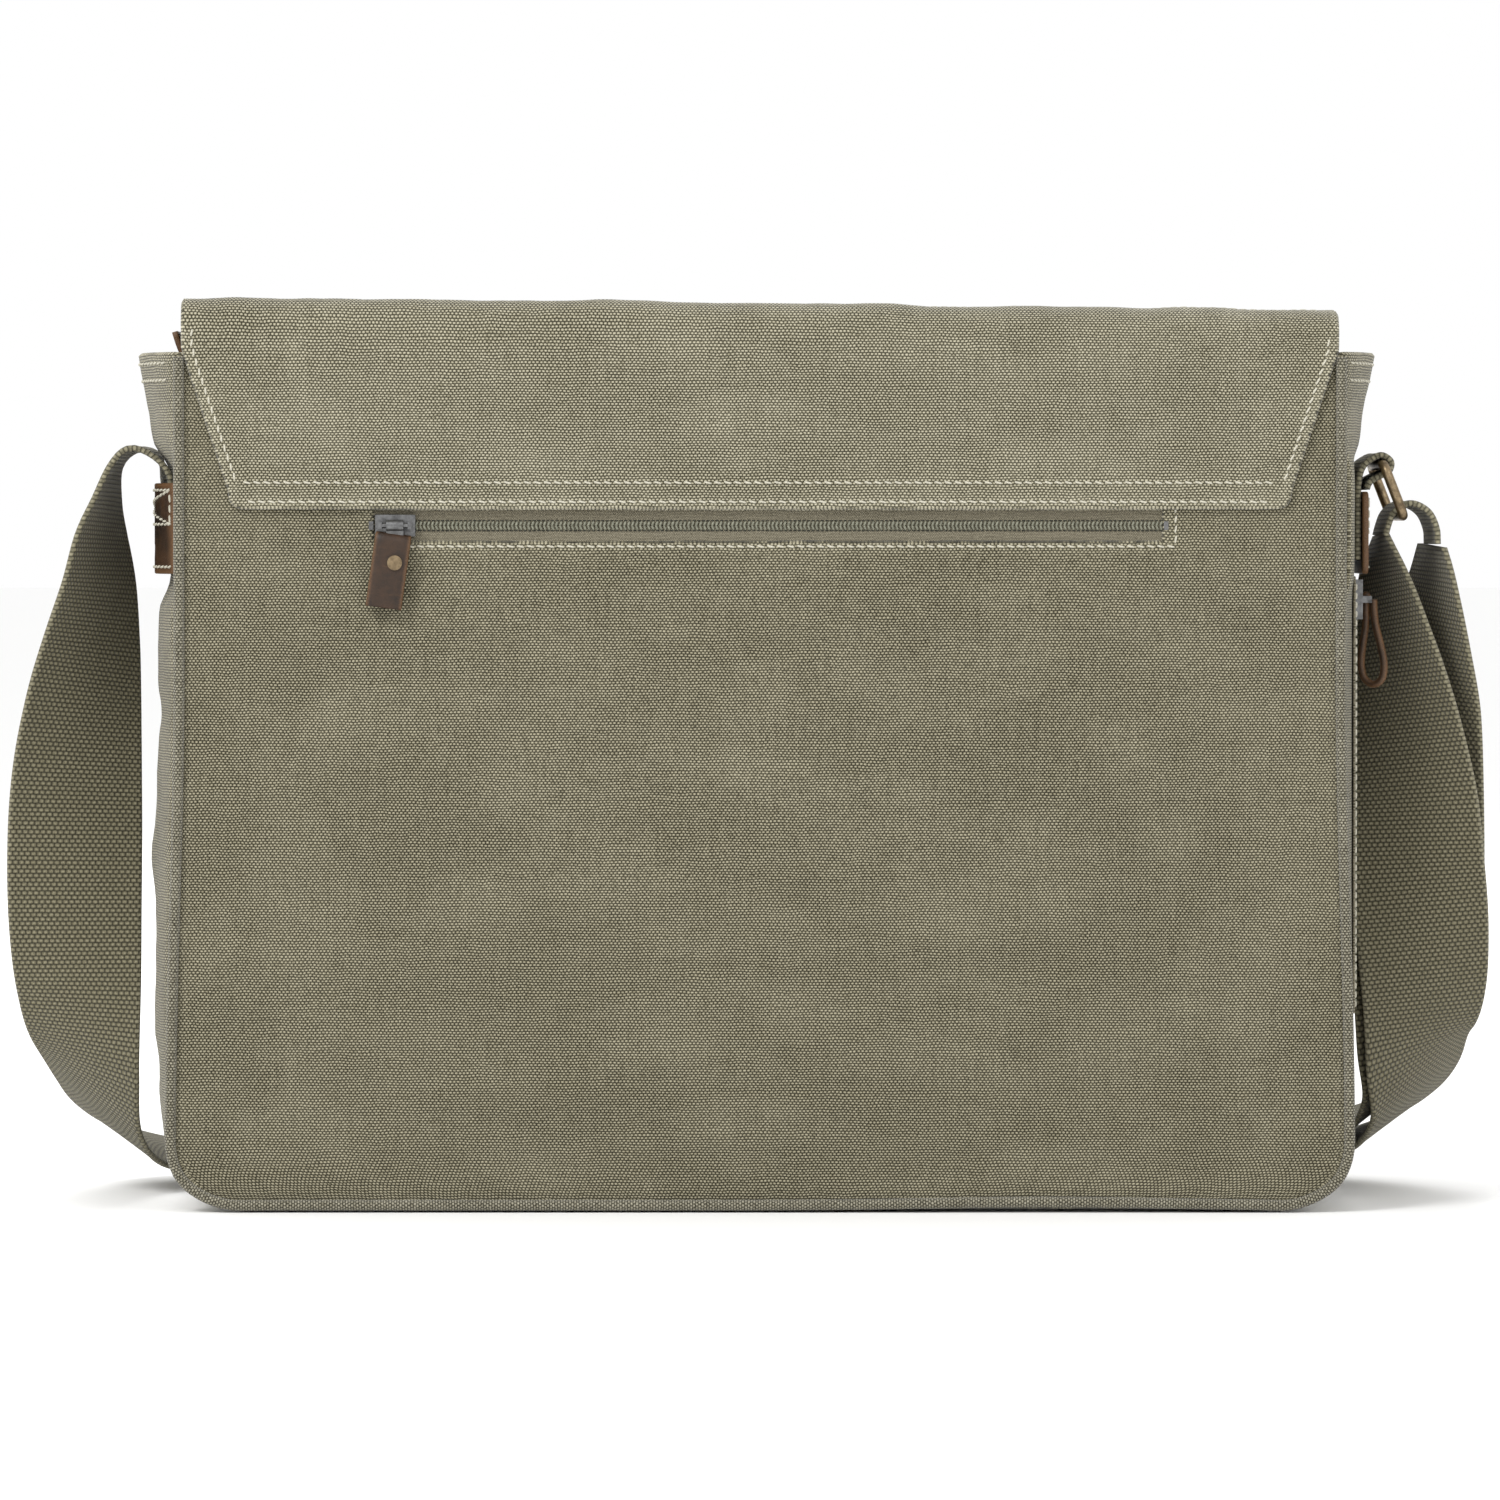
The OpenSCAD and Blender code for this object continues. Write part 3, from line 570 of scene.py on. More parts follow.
def slab(name, outline, thickness, place, material, round_edge=0.6, **where):
    """A flat piece with rounded edges. outline is (a, b) points, counterclockwise, and
    place(a, b, h) gives the point h above its middle."""
    outline = np.array(outline, float)
    before = unit(outline - np.roll(outline, 1, axis=0))
    after = unit(np.roll(outline, -1, axis=0) - outline)
    inward = unit(np.stack([-(before + after)[:, 1], (before + after)[:, 0]], -1))
    half = thickness / 2
    rings = [(round_edge, half), (round_edge * 0.3, half - round_edge * 0.3), (0, half - round_edge),
             (0, round_edge - half), (round_edge * 0.3, round_edge * 0.3 - half), (round_edge, -half)]
    count = len(outline)
    centre = outline.mean(axis=0)
    rim = outline + inward * round_edge
    points, flats = [], []
    for inset, h in rings:
        ring = outline + inward * inset
        points.append(place(ring[:, 0], ring[:, 1], np.full(count, h)))
        flats.append(np.column_stack([ring, np.zeros(count)]))
    faces = ring_quads(len(rings), count)[:, [1, 0, 3, 2]].tolist()
    total = len(rings) * count
    for side, last in ((half, 0), (-half, total - count)):
        for share in (0.66, 0.33):
            ring = centre + (rim - centre) * share
            points.append(place(ring[:, 0], ring[:, 1], np.full(count, side)))
            flats.append(np.column_stack([ring, np.full(count, 4 * (1 - share) + 1)]))
            for i in range(count):
                j = (i + 1) % count
                quad = [last + i, last + j, total + j, total + i]
                faces.append(quad if side > 0 else quad[::-1])
            last = total
            total += count
        points.append(place(*(np.array([c]) for c in centre), np.array([side])))
        flats.append(np.array([[*centre, 5.0]]))
        for i in range(count):
            tri = [last + i, last + (i + 1) % count, total]
            faces.append(tri if side > 0 else tri[::-1])
        total += 1
    return piece(name, np.concatenate(points), faces, material, flat=np.concatenate(flats), **where)


def rounded_box(a0, b0, a1, b1, radius, steps=6):
    """A rectangle's outline with round corners, counterclockwise"""
    corners = [(a1 - radius, b1 - radius, 0), (a0 + radius, b1 - radius, 90),
               (a0 + radius, b0 + radius, 180), (a1 - radius, b0 + radius, 270)]
    return [(a + radius * math.cos(math.radians(t + 90 * i / steps)),
             b + radius * math.sin(math.radians(t + 90 * i / steps)))
            for a, b, t in corners for i in range(steps + 1)]


def densify(outline, step=3.0):
    outline = np.array(outline, float)
    out = []
    for p, q in zip(outline, np.roll(outline, -1, axis=0)):
        count = max(1, round(np.linalg.norm(q - p) / step))
        out += [p + (q - p) * i / count for i in range(count)]
    return np.array(out)


def metal(node, material, radius):
    """A CAD node shown as it is, with its edges broken and a metal finish"""
    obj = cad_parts[node]
    obj.data.materials.clear()
    obj.data.materials.append(material)
    bevel = obj.modifiers.new("bevel", "BEVEL")
    bevel.width = radius * MM
    bevel.segments = 2
    bevel.limit_method = "ANGLE"
    bevel.angle_limit = math.radians(35)
    bevel.harden_normals = True


# ---- measures from the CAD


def mm_box(node):
    """A CAD node's low and high corners in millimetres"""
    low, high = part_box(node)
    return np.array(low) / MM, np.array(high) / MM


# Half the width at the back seams, and the planes of the body
HALF = -mm_box("back_piping")[0][0] - 2.0
_, BACK, TOP = mm_box("back_panel")[1]
FRONT = mm_box("front_panel")[0][1]
MIDDLE = (BACK + FRONT) / 2
CORNER = 24.0
WALL = 2.4
# The back zip's window: its height, middle, half length and half height
zip_low, zip_high = mm_box("back_zip_tape")
ZIP_Z = (zip_low[2] + zip_high[2]) / 2
zip_mid = (zip_low[0] + zip_high[0]) / 2
zip_half = (zip_high[0] - zip_low[0]) / 2
WINDOW = 6


# ---- body


def half_width(z):
    """The body's half width at the seams: it spreads a little towards the base."""
    z = np.asarray(z, float)
    spread = HALF - 2.2 + 3.4 * (1 - step01(z, 20, 190))
    low = np.clip((CORNER - z) / CORNER, 0, 1)
    return spread - CORNER * (1 - np.sqrt(np.maximum(1 - low ** 2, 0)))


# Creases as start, end, width and depth
BACK_CREASES = (((-150, 120), (-40, 92), 7, 0.9), ((90, 150), (190, 118), 8, 0.8),
                ((20, 60), (120, 40), 9, 0.8), ((-196, 214), (-120, 196), 6, -0.9),
                ((-185, 60), (-90, 44), 8, -0.8), ((198, 206), (150, 176), 6, -0.8),
                ((-60, 205), (10, 188), 8, 0.7))
SIDE_CREASES = (((FRONT + 8, 190), (BACK - 12, 172), 7, -1.3), ((FRONT + 14, 66), (BACK - 10, 52), 7, -1.2),
                ((FRONT + 10, 122), (BACK - 20, 131), 8, 0.9))
FLAP_CREASES = (((-190, 300), (-60, 330), 10, 1.6), ((180, 280), (70, 320), 9, 1.4),
                ((-20, 360), (70, 300), 11, 1.3))


def back_sag(x, z):
    """How far the back panel stands off its plane: it fills out below the zip and ripples."""
    middle = np.cos(np.clip(x / 210, -1, 1) * math.pi / 2)
    belly = 2.8 * middle ** 0.7 * step01(z, 0, 60) * (1 - step01(z, 150, 232))
    ripples = 0.55 * ripple(x, z, 46, 3.1) + 0.3 * ripple(x, z * 0.6, 17, 7.7)
    welt = -0.5 * np.exp(-((z - 226) / 5) ** 2) * (np.abs(x) < 150)
    ripples = ripples * (1 - 0.8 * step01(z, 238, 248))
    ripples = creased(ripples, x, z, BACK_CREASES)
    held = step01(z, 2, 26) * step01(half_width(z) - np.abs(x), 0, 22)
    return (belly + welt + ripples * 1.1) * held


def back_surface(u, v):
    """u runs from -1 to 1 across the panel and v is the height."""
    x = u * (half_width(v) - 0.2)
    return np.stack([x, BACK + 0.3 + back_sag(x, v), v], -1)


def back_flat(u, v):
    x = u * HALF
    edge = np.minimum(HALF - np.abs(x), v)
    window = np.maximum(np.abs(x - zip_mid) - zip_half, np.abs(v - ZIP_Z) - WINDOW)
    return np.stack([x, v, np.minimum(edge, np.abs(window))], -1)


def back_panel():
    """The back of the body, cut open along the zip pocket"""
    z_marks = (1.2, 4, 30, ZIP_Z - 8, ZIP_Z - WINDOW, ZIP_Z + WINDOW, ZIP_Z + 8, 262)
    left, right = (zip_mid - zip_half) / HALF, (zip_mid + zip_half) / HALF
    across = lines(0.011, -1, -0.993, left - 0.008, left, right, right + 0.008, 0.993, 1)[::-1]
    up = lines(2.2, *z_marks, TOP)

    def keep(u, v):
        return (np.abs(u * HALF - zip_mid) > zip_half) | (np.abs(v - ZIP_Z) > WINDOW)

    sheet_piece("back_panel_cloth", back_surface, across, up, WALL, CANVAS, "bag", ["back_panel"],
                "canvas", keep, back_flat)


def front_surface(u, v):
    x = u * (half_width(v) - 0.2)
    sag = (0.6 * ripple(x, v, 50, 9.2) - 0.6) * step01(half_width(v) - np.abs(x), 0, 20)
    return np.stack([x, FRONT + 1.4 + sag * 0.8, v], -1)


def front_flat(u, v):
    return np.stack([u * HALF, v, np.minimum(HALF * (1 - np.abs(u)), TOP - v)], -1)


def front_panel():
    sheet_piece("front_panel_cloth", front_surface, lines(0.02, -1, 1), lines(4, 1.2, TOP), WALL,
                CANVAS, "bag", ["front_panel"], "canvas", flat=front_flat)


def side_flare(z, side):
    """How far the side wall stands out past the seam. Its top flares into an ear."""
    heights = (0, 12, 24, 60, 120, 200, 240, 262, 283, TOP)
    left = (0, 1.5, 4.5, 8.5, 10.5, 10, 9.5, 11, 14.5, 17.5)
    right = (0, 0.5, 1.5, 3.5, 4.5, 5, 6, 8.5, 11.5, 15.5)
    return np.interp(z, heights, left if side > 0 else right)


# Where the side zip's tape lies on the side wall
SIDE_FACE = -mm_box("side_zip_tape")[1][0] - 0.2


def side_seat(y, side):
    """Where the side wall lies under the strap's fittings. The left one turns towards the back."""
    return SIDE_FACE - (5.8 * step01(y, 14, 50) if side > 0 else 0)


def side_surface(side):
    """The side wall: u is its depth and v its height."""
    def surface(u, v):
        t = (u - FRONT) / (BACK - FRONT)
        open_top = step01(v, 235, TOP)
        bow = np.clip(np.sin(np.clip(t, 0, 1) * math.pi), 0, 1) ** (0.5 + 0.2 * open_top)
        seam_x = half_width(v) + 0.6
        bulge = side_flare(v, side) * bow
        ripples = 0.7 * ripple(u + 400 * side, v * 0.7, 30, 4.4) + 0.35 * ripple(u, v, 12, 8.8 + side)
        ripples = creased(ripples, u, v, SIDE_CREASES)
        fitting = np.exp(-(((v - 240) / 25) ** 8)) * np.exp(-(((u - MIDDLE - 7) / 42) ** 8))
        zip_flat = (np.exp(-(((u - 28) / 11) ** 4)) * step01(v, 58, 70) * (1 - step01(v, 222, 232))
                    if side < 0 else 0)
        out = np.clip(bulge + ripples * bow, 0, 99)
        out = out * (1 - fitting) + fitting * (side_seat(u, side) - seam_x)
        out = out * (1 - zip_flat) + zip_flat * (side_seat(u, side) - seam_x)
        return np.stack([side * (seam_x + out), u, v], -1)
    return surface


def side_flat(u, v):
    return np.stack([u, v, np.minimum(np.minimum(u - FRONT, BACK - u), TOP - v)], -1)


def side_walls():
    across = lines(2.3, FRONT, FRONT + 1.5, BACK - 1.5, BACK)
    up = lines(2.6, CORNER, 60, TOP - 3, TOP - 1, TOP)
    for name, side in SIDES:
        sheet_piece(name + "_gusset_cloth", side_surface(side), across[::side], up, WALL, CANVAS,
                    "bag", [name + "_gusset"], "canvas", flat=side_flat)


def base_surface(u, v):
    """u is the depth and v runs along the base from the right side to the left."""
    arc = CORNER * math.pi / 2
    flat_half = HALF + 0.9 - CORNER
    over = np.clip(np.abs(v) - flat_half, 0, arc)
    turn = over / CORNER
    x = np.sign(v) * (np.minimum(np.abs(v), flat_half) + CORNER * np.sin(turn))
    z = CORNER - CORNER * np.cos(turn)
    t = np.clip((u - FRONT) / (BACK - FRONT), 0, 1)
    bow = np.sin(t * math.pi) ** 0.5
    lift = 0.9 * (1 - bow) * (1 - over / arc)
    ripples = 0.5 * (1 + ripple(u, v, 32, 6.6)) * bow * (1 - over / arc)
    out = 2.2 * bow * step01(turn, 0.55, 1.5)
    return np.stack([x + np.sign(v) * out, u, z + 0.5 + lift + ripples], -1)


def base_flat(u, v):
    return np.stack([u, v, np.minimum(u - FRONT, BACK - u)], -1)


def base():
    reach = HALF + 0.9 - CORNER + CORNER * math.pi / 2
    sheet_piece("base_gusset_cloth", base_surface, lines(3, FRONT, BACK), lines(4, -reach, reach),
                WALL, CANVAS, "bag", ["base_gusset"], "canvas", flat=base_flat)


def seam_path(y):
    """The piped seam round a panel, from the top of the left side to the top of the right"""
    heights = np.concatenate([np.linspace(TOP - 1, CORNER, 40),
                              CORNER * (1 - np.sin(np.linspace(0, math.pi / 2, 14)[1:]))])
    left = [(half_width(z) + 0.7, y, z + 1.9 * (1 - step01(z, 0, 14))) for z in heights]
    run = np.linspace(HALF - CORNER - 8, 8 + CORNER - HALF, 50)
    sag = 1.1 * np.exp(-((run + 100) / 55) ** 2)
    bottom = [(x, y, 2.0 + s) for x, s in zip(run, sag)]
    return left + bottom + [(-x, y, z) for x, y, z in reversed(left)]


def pipings():
    for name, y in (("back_piping", BACK + 1.6), ("front_piping", FRONT - 1.6)):
        tube(name + "_cord", seam_path(y), 1.9, PIPING_SHADED, 3.0, body="bag", nodes=[name], slot="piping")


def inside(height, inset=4.2):
    """One level of the lining, a rounded rectangle round the inside of the body"""
    half_x = half_width(height) - inset + 1.2
    outline = np.array(rounded_box(-half_x, FRONT + inset, half_x, BACK - inset, 10, 4))
    outline = densify(outline, 5)
    x, y = outline[:, 0], outline[:, 1]
    pocket = step01(height, 74, 82) * (1 - step01(height, 258, 266)) * (np.abs(x - zip_mid) < 158)
    y = np.where((y > 40) & (pocket > 0), y - 6.4 * pocket * step01(158 - np.abs(x - zip_mid), 0, 8), y)
    wave = 0.8 * ripple(x * 0.8, y * 0 + height, 34, 2.2)
    y = y - np.where(y > 0, np.abs(wave), -np.abs(wave))
    return np.column_stack([x, y, np.full(len(x), height)])


def lining():
    """The cotton lining, one bag-shaped skin open at the top"""
    levels = [inside(4.5, 30), inside(4.3, 14), inside(5.5, 6)]
    levels += [inside(z) for z in lines(7, 9, 282)]
    count = min(len(level) for level in levels)
    rings = []
    for level in levels:
        loop = np.vstack([level, level[:1]])
        run = run_of(loop)
        rings.append(at_run(np.linspace(0, run[-1], count + 1)[:-1], run, loop))
    shape = np.array(rings)
    faces = ring_quads(len(shape), count)[:, ::-1].tolist() + [list(range(count))]
    flats = np.zeros(shape.shape)
    flats[..., 0] = np.arange(count) * 5
    flats[..., 1] = shape[..., 2]
    flats[..., 2] = 20
    skin = piece("lining_cloth", shape, faces, LINING, flat=flats)
    wall = skin.modifiers.new("wall", "SOLIDIFY")
    wall.thickness = 0.0005
    return fit(skin, "bag", ["lining"])


def divider():
    """The padded laptop divider: two layers quilted together over foam"""
    low, high = mm_box("laptop_divider")
    middle, channels = 20, 4
    us, vs = lines(5, low[0] + 1, high[0] - 1), lines(5, low[2] + 1, high[2] - 1)
    u, v = np.meshgrid(us, vs, indexing="ij")
    nu, nv = u.shape
    quilt = np.abs(np.sin((u - low[0]) / (high[0] - low[0]) * math.pi * channels))
    puff = step01(from_edges(u, v, low, high), 0, 16) * (0.55 + 0.45 * quilt)
    faces_of = [np.stack([u, middle + out * (1.1 + 2.5 * puff), v], -1).reshape(-1, 3) for out in (1, -1)]
    index = np.arange(nu * nv).reshape(nu, nv)
    quads = np.stack(cell_corners(nu, nv), -1).reshape(-1, 4)
    rim = np.concatenate([index[:, 0], index[-1, 1:], index[-2::-1, -1], index[0, -2:0:-1]])
    after = np.roll(rim, -1)
    walls = np.stack([rim, after, after + nu * nv, rim + nu * nv], -1)
    faces = np.concatenate([quads[:, ::-1], quads + nu * nv, walls])
    flats = np.stack([u, v, np.full(u.shape, 20.0)], -1).reshape(-1, 3)
    pad = piece("laptop_divider_pad", np.concatenate(faces_of), faces.tolist(), LINING,
                flat=np.concatenate([flats, flats]))
    fit(pad, "bag", ["laptop_divider"])


def back_pocket():
    """The back pocket's bag: a flat pouch of lining behind the zip"""
    low, high = mm_box("back_pocket_bag")

    def surface(u, v):
        depth = (high[1] - low[1] - 1.2) * step01(from_edges(u, v, low, high), 0, 14)
        return np.stack([u, high[1] - 0.7 - depth + 0.3 * ripple(u, v, 25, 5.5), v], -1)

    sheet_piece("back_pocket_bag_cloth", surface, lines(4, low[0], high[0]), lines(4, low[2], high[2]),
                0.5, LINING, "bag", ["back_pocket_bag"], "lining")


# ---- flap

FLAP_HALF, _, FLAP_TOP = mm_box("flap_top")[1]
_, FLAP_EDGE, FLAP_HEM = mm_box("flap_front")[0]
YOKE_HEM = mm_box("flap_yoke")[0][2]
YOKE_FACE = mm_box("flap_yoke")[1][1]
FLAP_T = 2.6
BEND = 8.0
FLAP_CORNER = 20
# Depths at which the flap's panels meet
RIDGE_CUT, TOP_CUT = 42.0, 10.0


def flap_profile():
    """The flap's outer line from the yoke's hem, over the top and down the front: run, Y and Z"""
    quarter = np.linspace(0, math.pi / 2, 12)
    face, top, front = YOKE_FACE + 0.3, FLAP_TOP + 0.3, FLAP_EDGE - 0.3
    points = [(face, z) for z in np.linspace(YOKE_HEM - 0.5, top - BEND, 20)[:-1]]
    points += [(face - BEND + BEND * math.cos(t), top - BEND + BEND * math.sin(t)) for t in quarter]
    points += [(y, top) for y in np.linspace(face - BEND, front + BEND, 30)[1:-1]]
    points += [(front + BEND - BEND * math.sin(t), top - BEND + BEND * math.cos(t)) for t in quarter]
    points += [(front, z) for z in np.linspace(top - BEND, FLAP_HEM, 60)[1:]]
    points = np.array(points)
    return run_of(points), points[:, 0], points[:, 1]


FLAP_RUN, FLAP_Y, FLAP_Z = flap_profile()
FLAP_END = FLAP_RUN[-1]
TOP_RUN = FLAP_RUN[np.argmax(FLAP_Z > FLAP_TOP + 0.29)]


def run_at(y):
    """The run at which the flap's top is that far back"""
    return TOP_RUN + (YOKE_FACE + 0.3 - BEND) - y


def flap_half(run):
    """Half the flap's width: the yoke widens upwards from its hem, and both ends have round corners."""
    wide = np.interp(run, [5.5, 55], [185, FLAP_HALF - 0.5])
    low = 4 - 4 * np.sqrt(np.maximum(1 - (np.clip(4 - run, 0, 4) / 4) ** 2, 0))
    past = np.clip(run - FLAP_END + FLAP_CORNER, 0, FLAP_CORNER) / FLAP_CORNER
    return wide - low - (FLAP_CORNER - FLAP_CORNER * np.sqrt(np.maximum(1 - past ** 2, 0)))


def flap_surface(u, v):
    """u runs from -1 to 1 across the flap and v is the run from the yoke's hem."""
    x = u * flap_half(v)
    y, z = np.interp(v, FLAP_RUN, FLAP_Y), np.interp(v, FLAP_RUN, FLAP_Z)
    slope = np.arctan2(np.interp(v + 1, FLAP_RUN, FLAP_Z) - np.interp(v - 1, FLAP_RUN, FLAP_Z),
                       np.interp(v + 1, FLAP_RUN, FLAP_Y) - np.interp(v - 1, FLAP_RUN, FLAP_Y))
    ridge = TOP_RUN - 4
    on_yoke = 1 - step01(v, ridge - 16, ridge)
    on_front = step01(v, run_at(-40), run_at(-40) + 60)
    ripples = 0.8 * ripple(x, v, 44, 21.5) + 0.35 * ripple(x * 0.7, v, 15, 31.5)
    lift = ripples * (0.35 * on_yoke + 1.5 * on_front + 1.0 * (1 - on_yoke) * (1 - on_front))
    lift = lift + on_front * creased(0, x, v, FLAP_CREASES)
    lift = np.maximum(lift, -0.6)
    hump = np.exp(-((v - ridge) / 14) ** 2)
    y = y + np.sin(slope) * lift
    z = z - np.cos(slope) * lift + hump * (1.3 + 2.3 * x / FLAP_HALF + 0.4 * ripple(x, v * 0, 60, 1.5))
    sag = np.sin(np.clip((v - TOP_RUN) / (run_at(-50) - TOP_RUN), 0, 1) * math.pi)
    z = z - 1.6 * sag * np.cos(x / FLAP_HALF * math.pi / 2) ** 0.5
    return np.stack([x, y, z], -1)


def flap_flat(u, v):
    half = flap_half(v)
    edge = np.minimum(half * (1 - np.abs(u)), np.minimum(v, FLAP_END - v))
    return np.stack([u * half, v, edge], -1)


def flap():
    """The flap in three panels that meet at seams"""
    across = lines(0.012, -1, -0.996, -0.988, 0.988, 0.996, 1)[::-1]
    cuts = (0, run_at(RIDGE_CUT), run_at(TOP_CUT), FLAP_END)
    named = (("flap_yoke_panel", ["flap_yoke", "flap_ridge"]), ("flap_top_panel", ["flap_top"]),
             ("flap_front_panel", ["flap_front"]))
    panels = []
    for (name, nodes), low, high in zip(named, cuts, cuts[1:]):
        marks = (low, low + 0.5, low + 1.2, low + 2.4, low + 4, high - 2.4, high - 0.9, high)
        panels.append(sheet_piece(name, flap_surface, across, lines(2.6, *marks), FLAP_T,
                                  LIT_FLAP_CANVAS, None, nodes, "canvas", flat=flap_flat))
    folds = (("bag", "flap_ridge", (0, 0.0565, 0.309), (0, 0.050, 0.3155)),
             ("flap_ridge", "flap_top", (0, 0.034, 0.315), (0, 0.026, 0.315)),
             ("flap_top", "flap_front", (0, -0.050, 0.3155), (0, -0.0555, 0.309)))
    for panel, (a, b, start, end) in zip(panels, folds):
        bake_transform(panel)
        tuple(start)
        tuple(end)


def facing_front(y):
    """Places a slab in the plane y, its outer side to -Y"""
    def place(a, b, h):
        return np.stack([a, np.full(len(a), float(y)) - h, b], -1)
    return place


def closures():
    """Leather straps and tabs that hold the flap's front"""
    for name, _ in SIDES:
        low, high = mm_box(name + "_closure_strap")
        y = (low[1] + high[1]) / 2 - 1.6
        outline = densify(rounded_box(low[0], low[2], high[0], high[2], 1.5, 3))
        slab(name + "_closure_strap_leather", outline, 2.3, facing_front(y), LEATHER,
             body="flap_front", nodes=[name + "_closure_strap"], slot="leather")
        tab_low, tab_high = mm_box(name + "_closure_tab")
        radius = (tab_high[0] - tab_low[0]) / 2
        middle = (tab_high[0] + tab_low[0]) / 2
        arc = [(middle + radius * math.cos(t), tab_low[2] + radius + radius * math.sin(t))
               for t in np.linspace(math.pi, math.tau, 24)]
        outline = densify(arc + [(tab_high[0], tab_high[2]), (tab_low[0], tab_high[2])])
        slab(name + "_closure_tab_leather", outline, 2.3, facing_front(y), LEATHER,
             body=name + "_tab", nodes=[name + "_closure_tab"], slot="leather")


def pocket(name):
    """A front pocket: a flat patch whose sides and bottom turn back to the front panel"""
    low, high = mm_box(name)
    depth = FRONT - low[1]

    def surface(u, v):
        inset = np.minimum(u - low[0], high[0] - u)
        rise = step01(inset, 0, 9) ** 0.5 * step01(v - low[2], 0, 12) ** 0.5
        out = 1.0 + (depth - 1.0) * rise
        belly = 0.8 * ripple(u, v, 38, 12.5) - 0.6
        return np.stack([u, FRONT - out - belly * rise * 0.7, v], -1)

    us = lines(3, low[0], low[0] + 1, low[0] + 10, high[0] - 10, high[0] - 1, high[0])
    vs = lines(3, low[2], low[2] + 1, low[2] + 13, high[2] - 2, high[2])
    sheet_piece(name + "_cloth", surface, us, vs, 1.3, CANVAS, "bag", [name], "canvas")
    return surface, low, high


# ---- zips


# How far each side of a coil leans
COIL_SLANTS = (66, -66)


def teeth(name, runs, body, nodes):
    """A closed nylon coil: one or two rows of slanted loops that meet along the middle"""
    rows = [stitches(f"{name}_{i}", [run], pitch=1.4, length=1.9, width=0.95, height=0.8,
                     slant=COIL_SLANTS[i], material=COIL) for i, run in enumerate(runs)]
    first = rows[0]
    if len(rows) > 1:
        joined = bmesh.new()
        for row in rows:
            joined.from_mesh(row.data)
        joined.to_mesh(first.data)
        joined.free()
        first.data.polygons.foreach_set("use_smooth", [True] * len(first.data.polygons))
        bpy.data.objects.remove(rows[1])
    first.name = name
    return fit(first, body, nodes)


def straight(start, end, normal):
    """A stitch run from start to end in a straight line"""
    start, end = np.array(start, float), np.array(end, float)
    count = max(2, int(np.linalg.norm(end - start)))
    path = start + (end - start) * np.linspace(0, 1, count)[:, None]
    return path, np.tile(np.array(normal, float), (count, 1))


def back_zip():
    low, high = zip_low, zip_high
    us = lines(4, low[0] - 3, high[0] + 3)[::-1]
    vs = lines(1.6, low[2] - 2.5, high[2] + 2.5)

    def surface(u, v):
        return np.stack([u, high[1] + 0.1 + 0.12 * ripple(u, v, 9, 14.4), v], -1)

    def flat(u, v):
        return np.stack([u, v, np.full(u.shape, 20.0)], -1)

    sheet_piece("back_zip_tape_cloth", surface, us, vs, 0.8, LIT_TAPE, "bag", ["back_zip_tape"],
                "zip_tape", flat=flat)
    coil_low, coil_high = mm_box("back_zip_coil")
    y = high[1] + 0.35

    def rows(y, out):
        return [straight((coil_low[0], y, ZIP_Z + s), (coil_high[0], y, ZIP_Z + s), (0, 1, 0))
                for s in (out, -out)]

    teeth("back_zip_teeth", rows(y, 0.7), "bag", ["back_zip_coil"])
    fit(stitches("back_zip_coil_thread", rows(y - 0.3, 1.75), "bag", pitch=1.6, length=1.2, width=0.5,
                 height=0.4, slant=0, material=DARK_THREAD))


def strip_section(width, thickness):
    """A leather strip's cut section"""
    half, t = width / 2, thickness / 2
    upper = [(half, t * 0.6), (half - 0.35, t), (half * 0.5, t), (0, t), (-half * 0.5, t),
             (0.35 - half, t), (-half, t * 0.6)]
    return upper + [(-a, -h) for a, h in upper]


# The leather strip's thickness and width in a pull, and the link's outer radius at its bar
PULL_T, PULL_W, LINK_R = 1.75, 12.5, 1.9


def pull(name, place, length, width=PULL_W):
    """A leather zip pull: one strip folded over its link, with both ends together below.
    place(a, d, h) gives the point a across, d down from the slider's bar and h outwards."""
    layer = 1.02
    fold = [(length, layer), (length * 0.7, layer + 0.1), (14, layer), (8, layer + 0.25),
            (4.9, layer + 0.1), (3.6, 0), (4.9, -layer - 0.1), (8, -layer - 0.25), (14, -layer),
            (length * 0.7, -layer), (length - 0.8, -layer)]
    rows = np.array([place(0, d, h) for d, h in fold])
    line = catmull(rows, 0.9)
    wide = np.tile(np.array(place(1, 0, 0)) - np.array(place(0, 0, 0)), (len(line), 1))
    node = name + "_pull_tab"
    sweep(node + "_leather", line, wide, strip_section(width, PULL_T), LEATHER, name + "_pull",
          [node], "leather")


def zip_pulls():
    bar_low, bar_high = mm_box("back_pull_link")
    back_x, back_y, back_z = (bar_low[0] + bar_high[0]) / 2, bar_high[1] - LINK_R, bar_high[2] - LINK_R
    lean = math.radians(8)

    def down_back(a, d, h):
        return (back_x + a * math.cos(lean) + d * math.sin(lean), back_y + h,
                back_z - d * math.cos(lean) + a * math.sin(lean))

    pull("back", down_back, 29)
    bar_low, bar_high = mm_box("main_pull_link")
    main_x, main_y, main_z = (bar_low[0] + bar_high[0]) / 2, bar_low[1] + LINK_R, bar_high[2] - LINK_R

    def along_main(a, d, h):
        return main_x - a, main_y + d, main_z + h

    pull("main", along_main, 24)


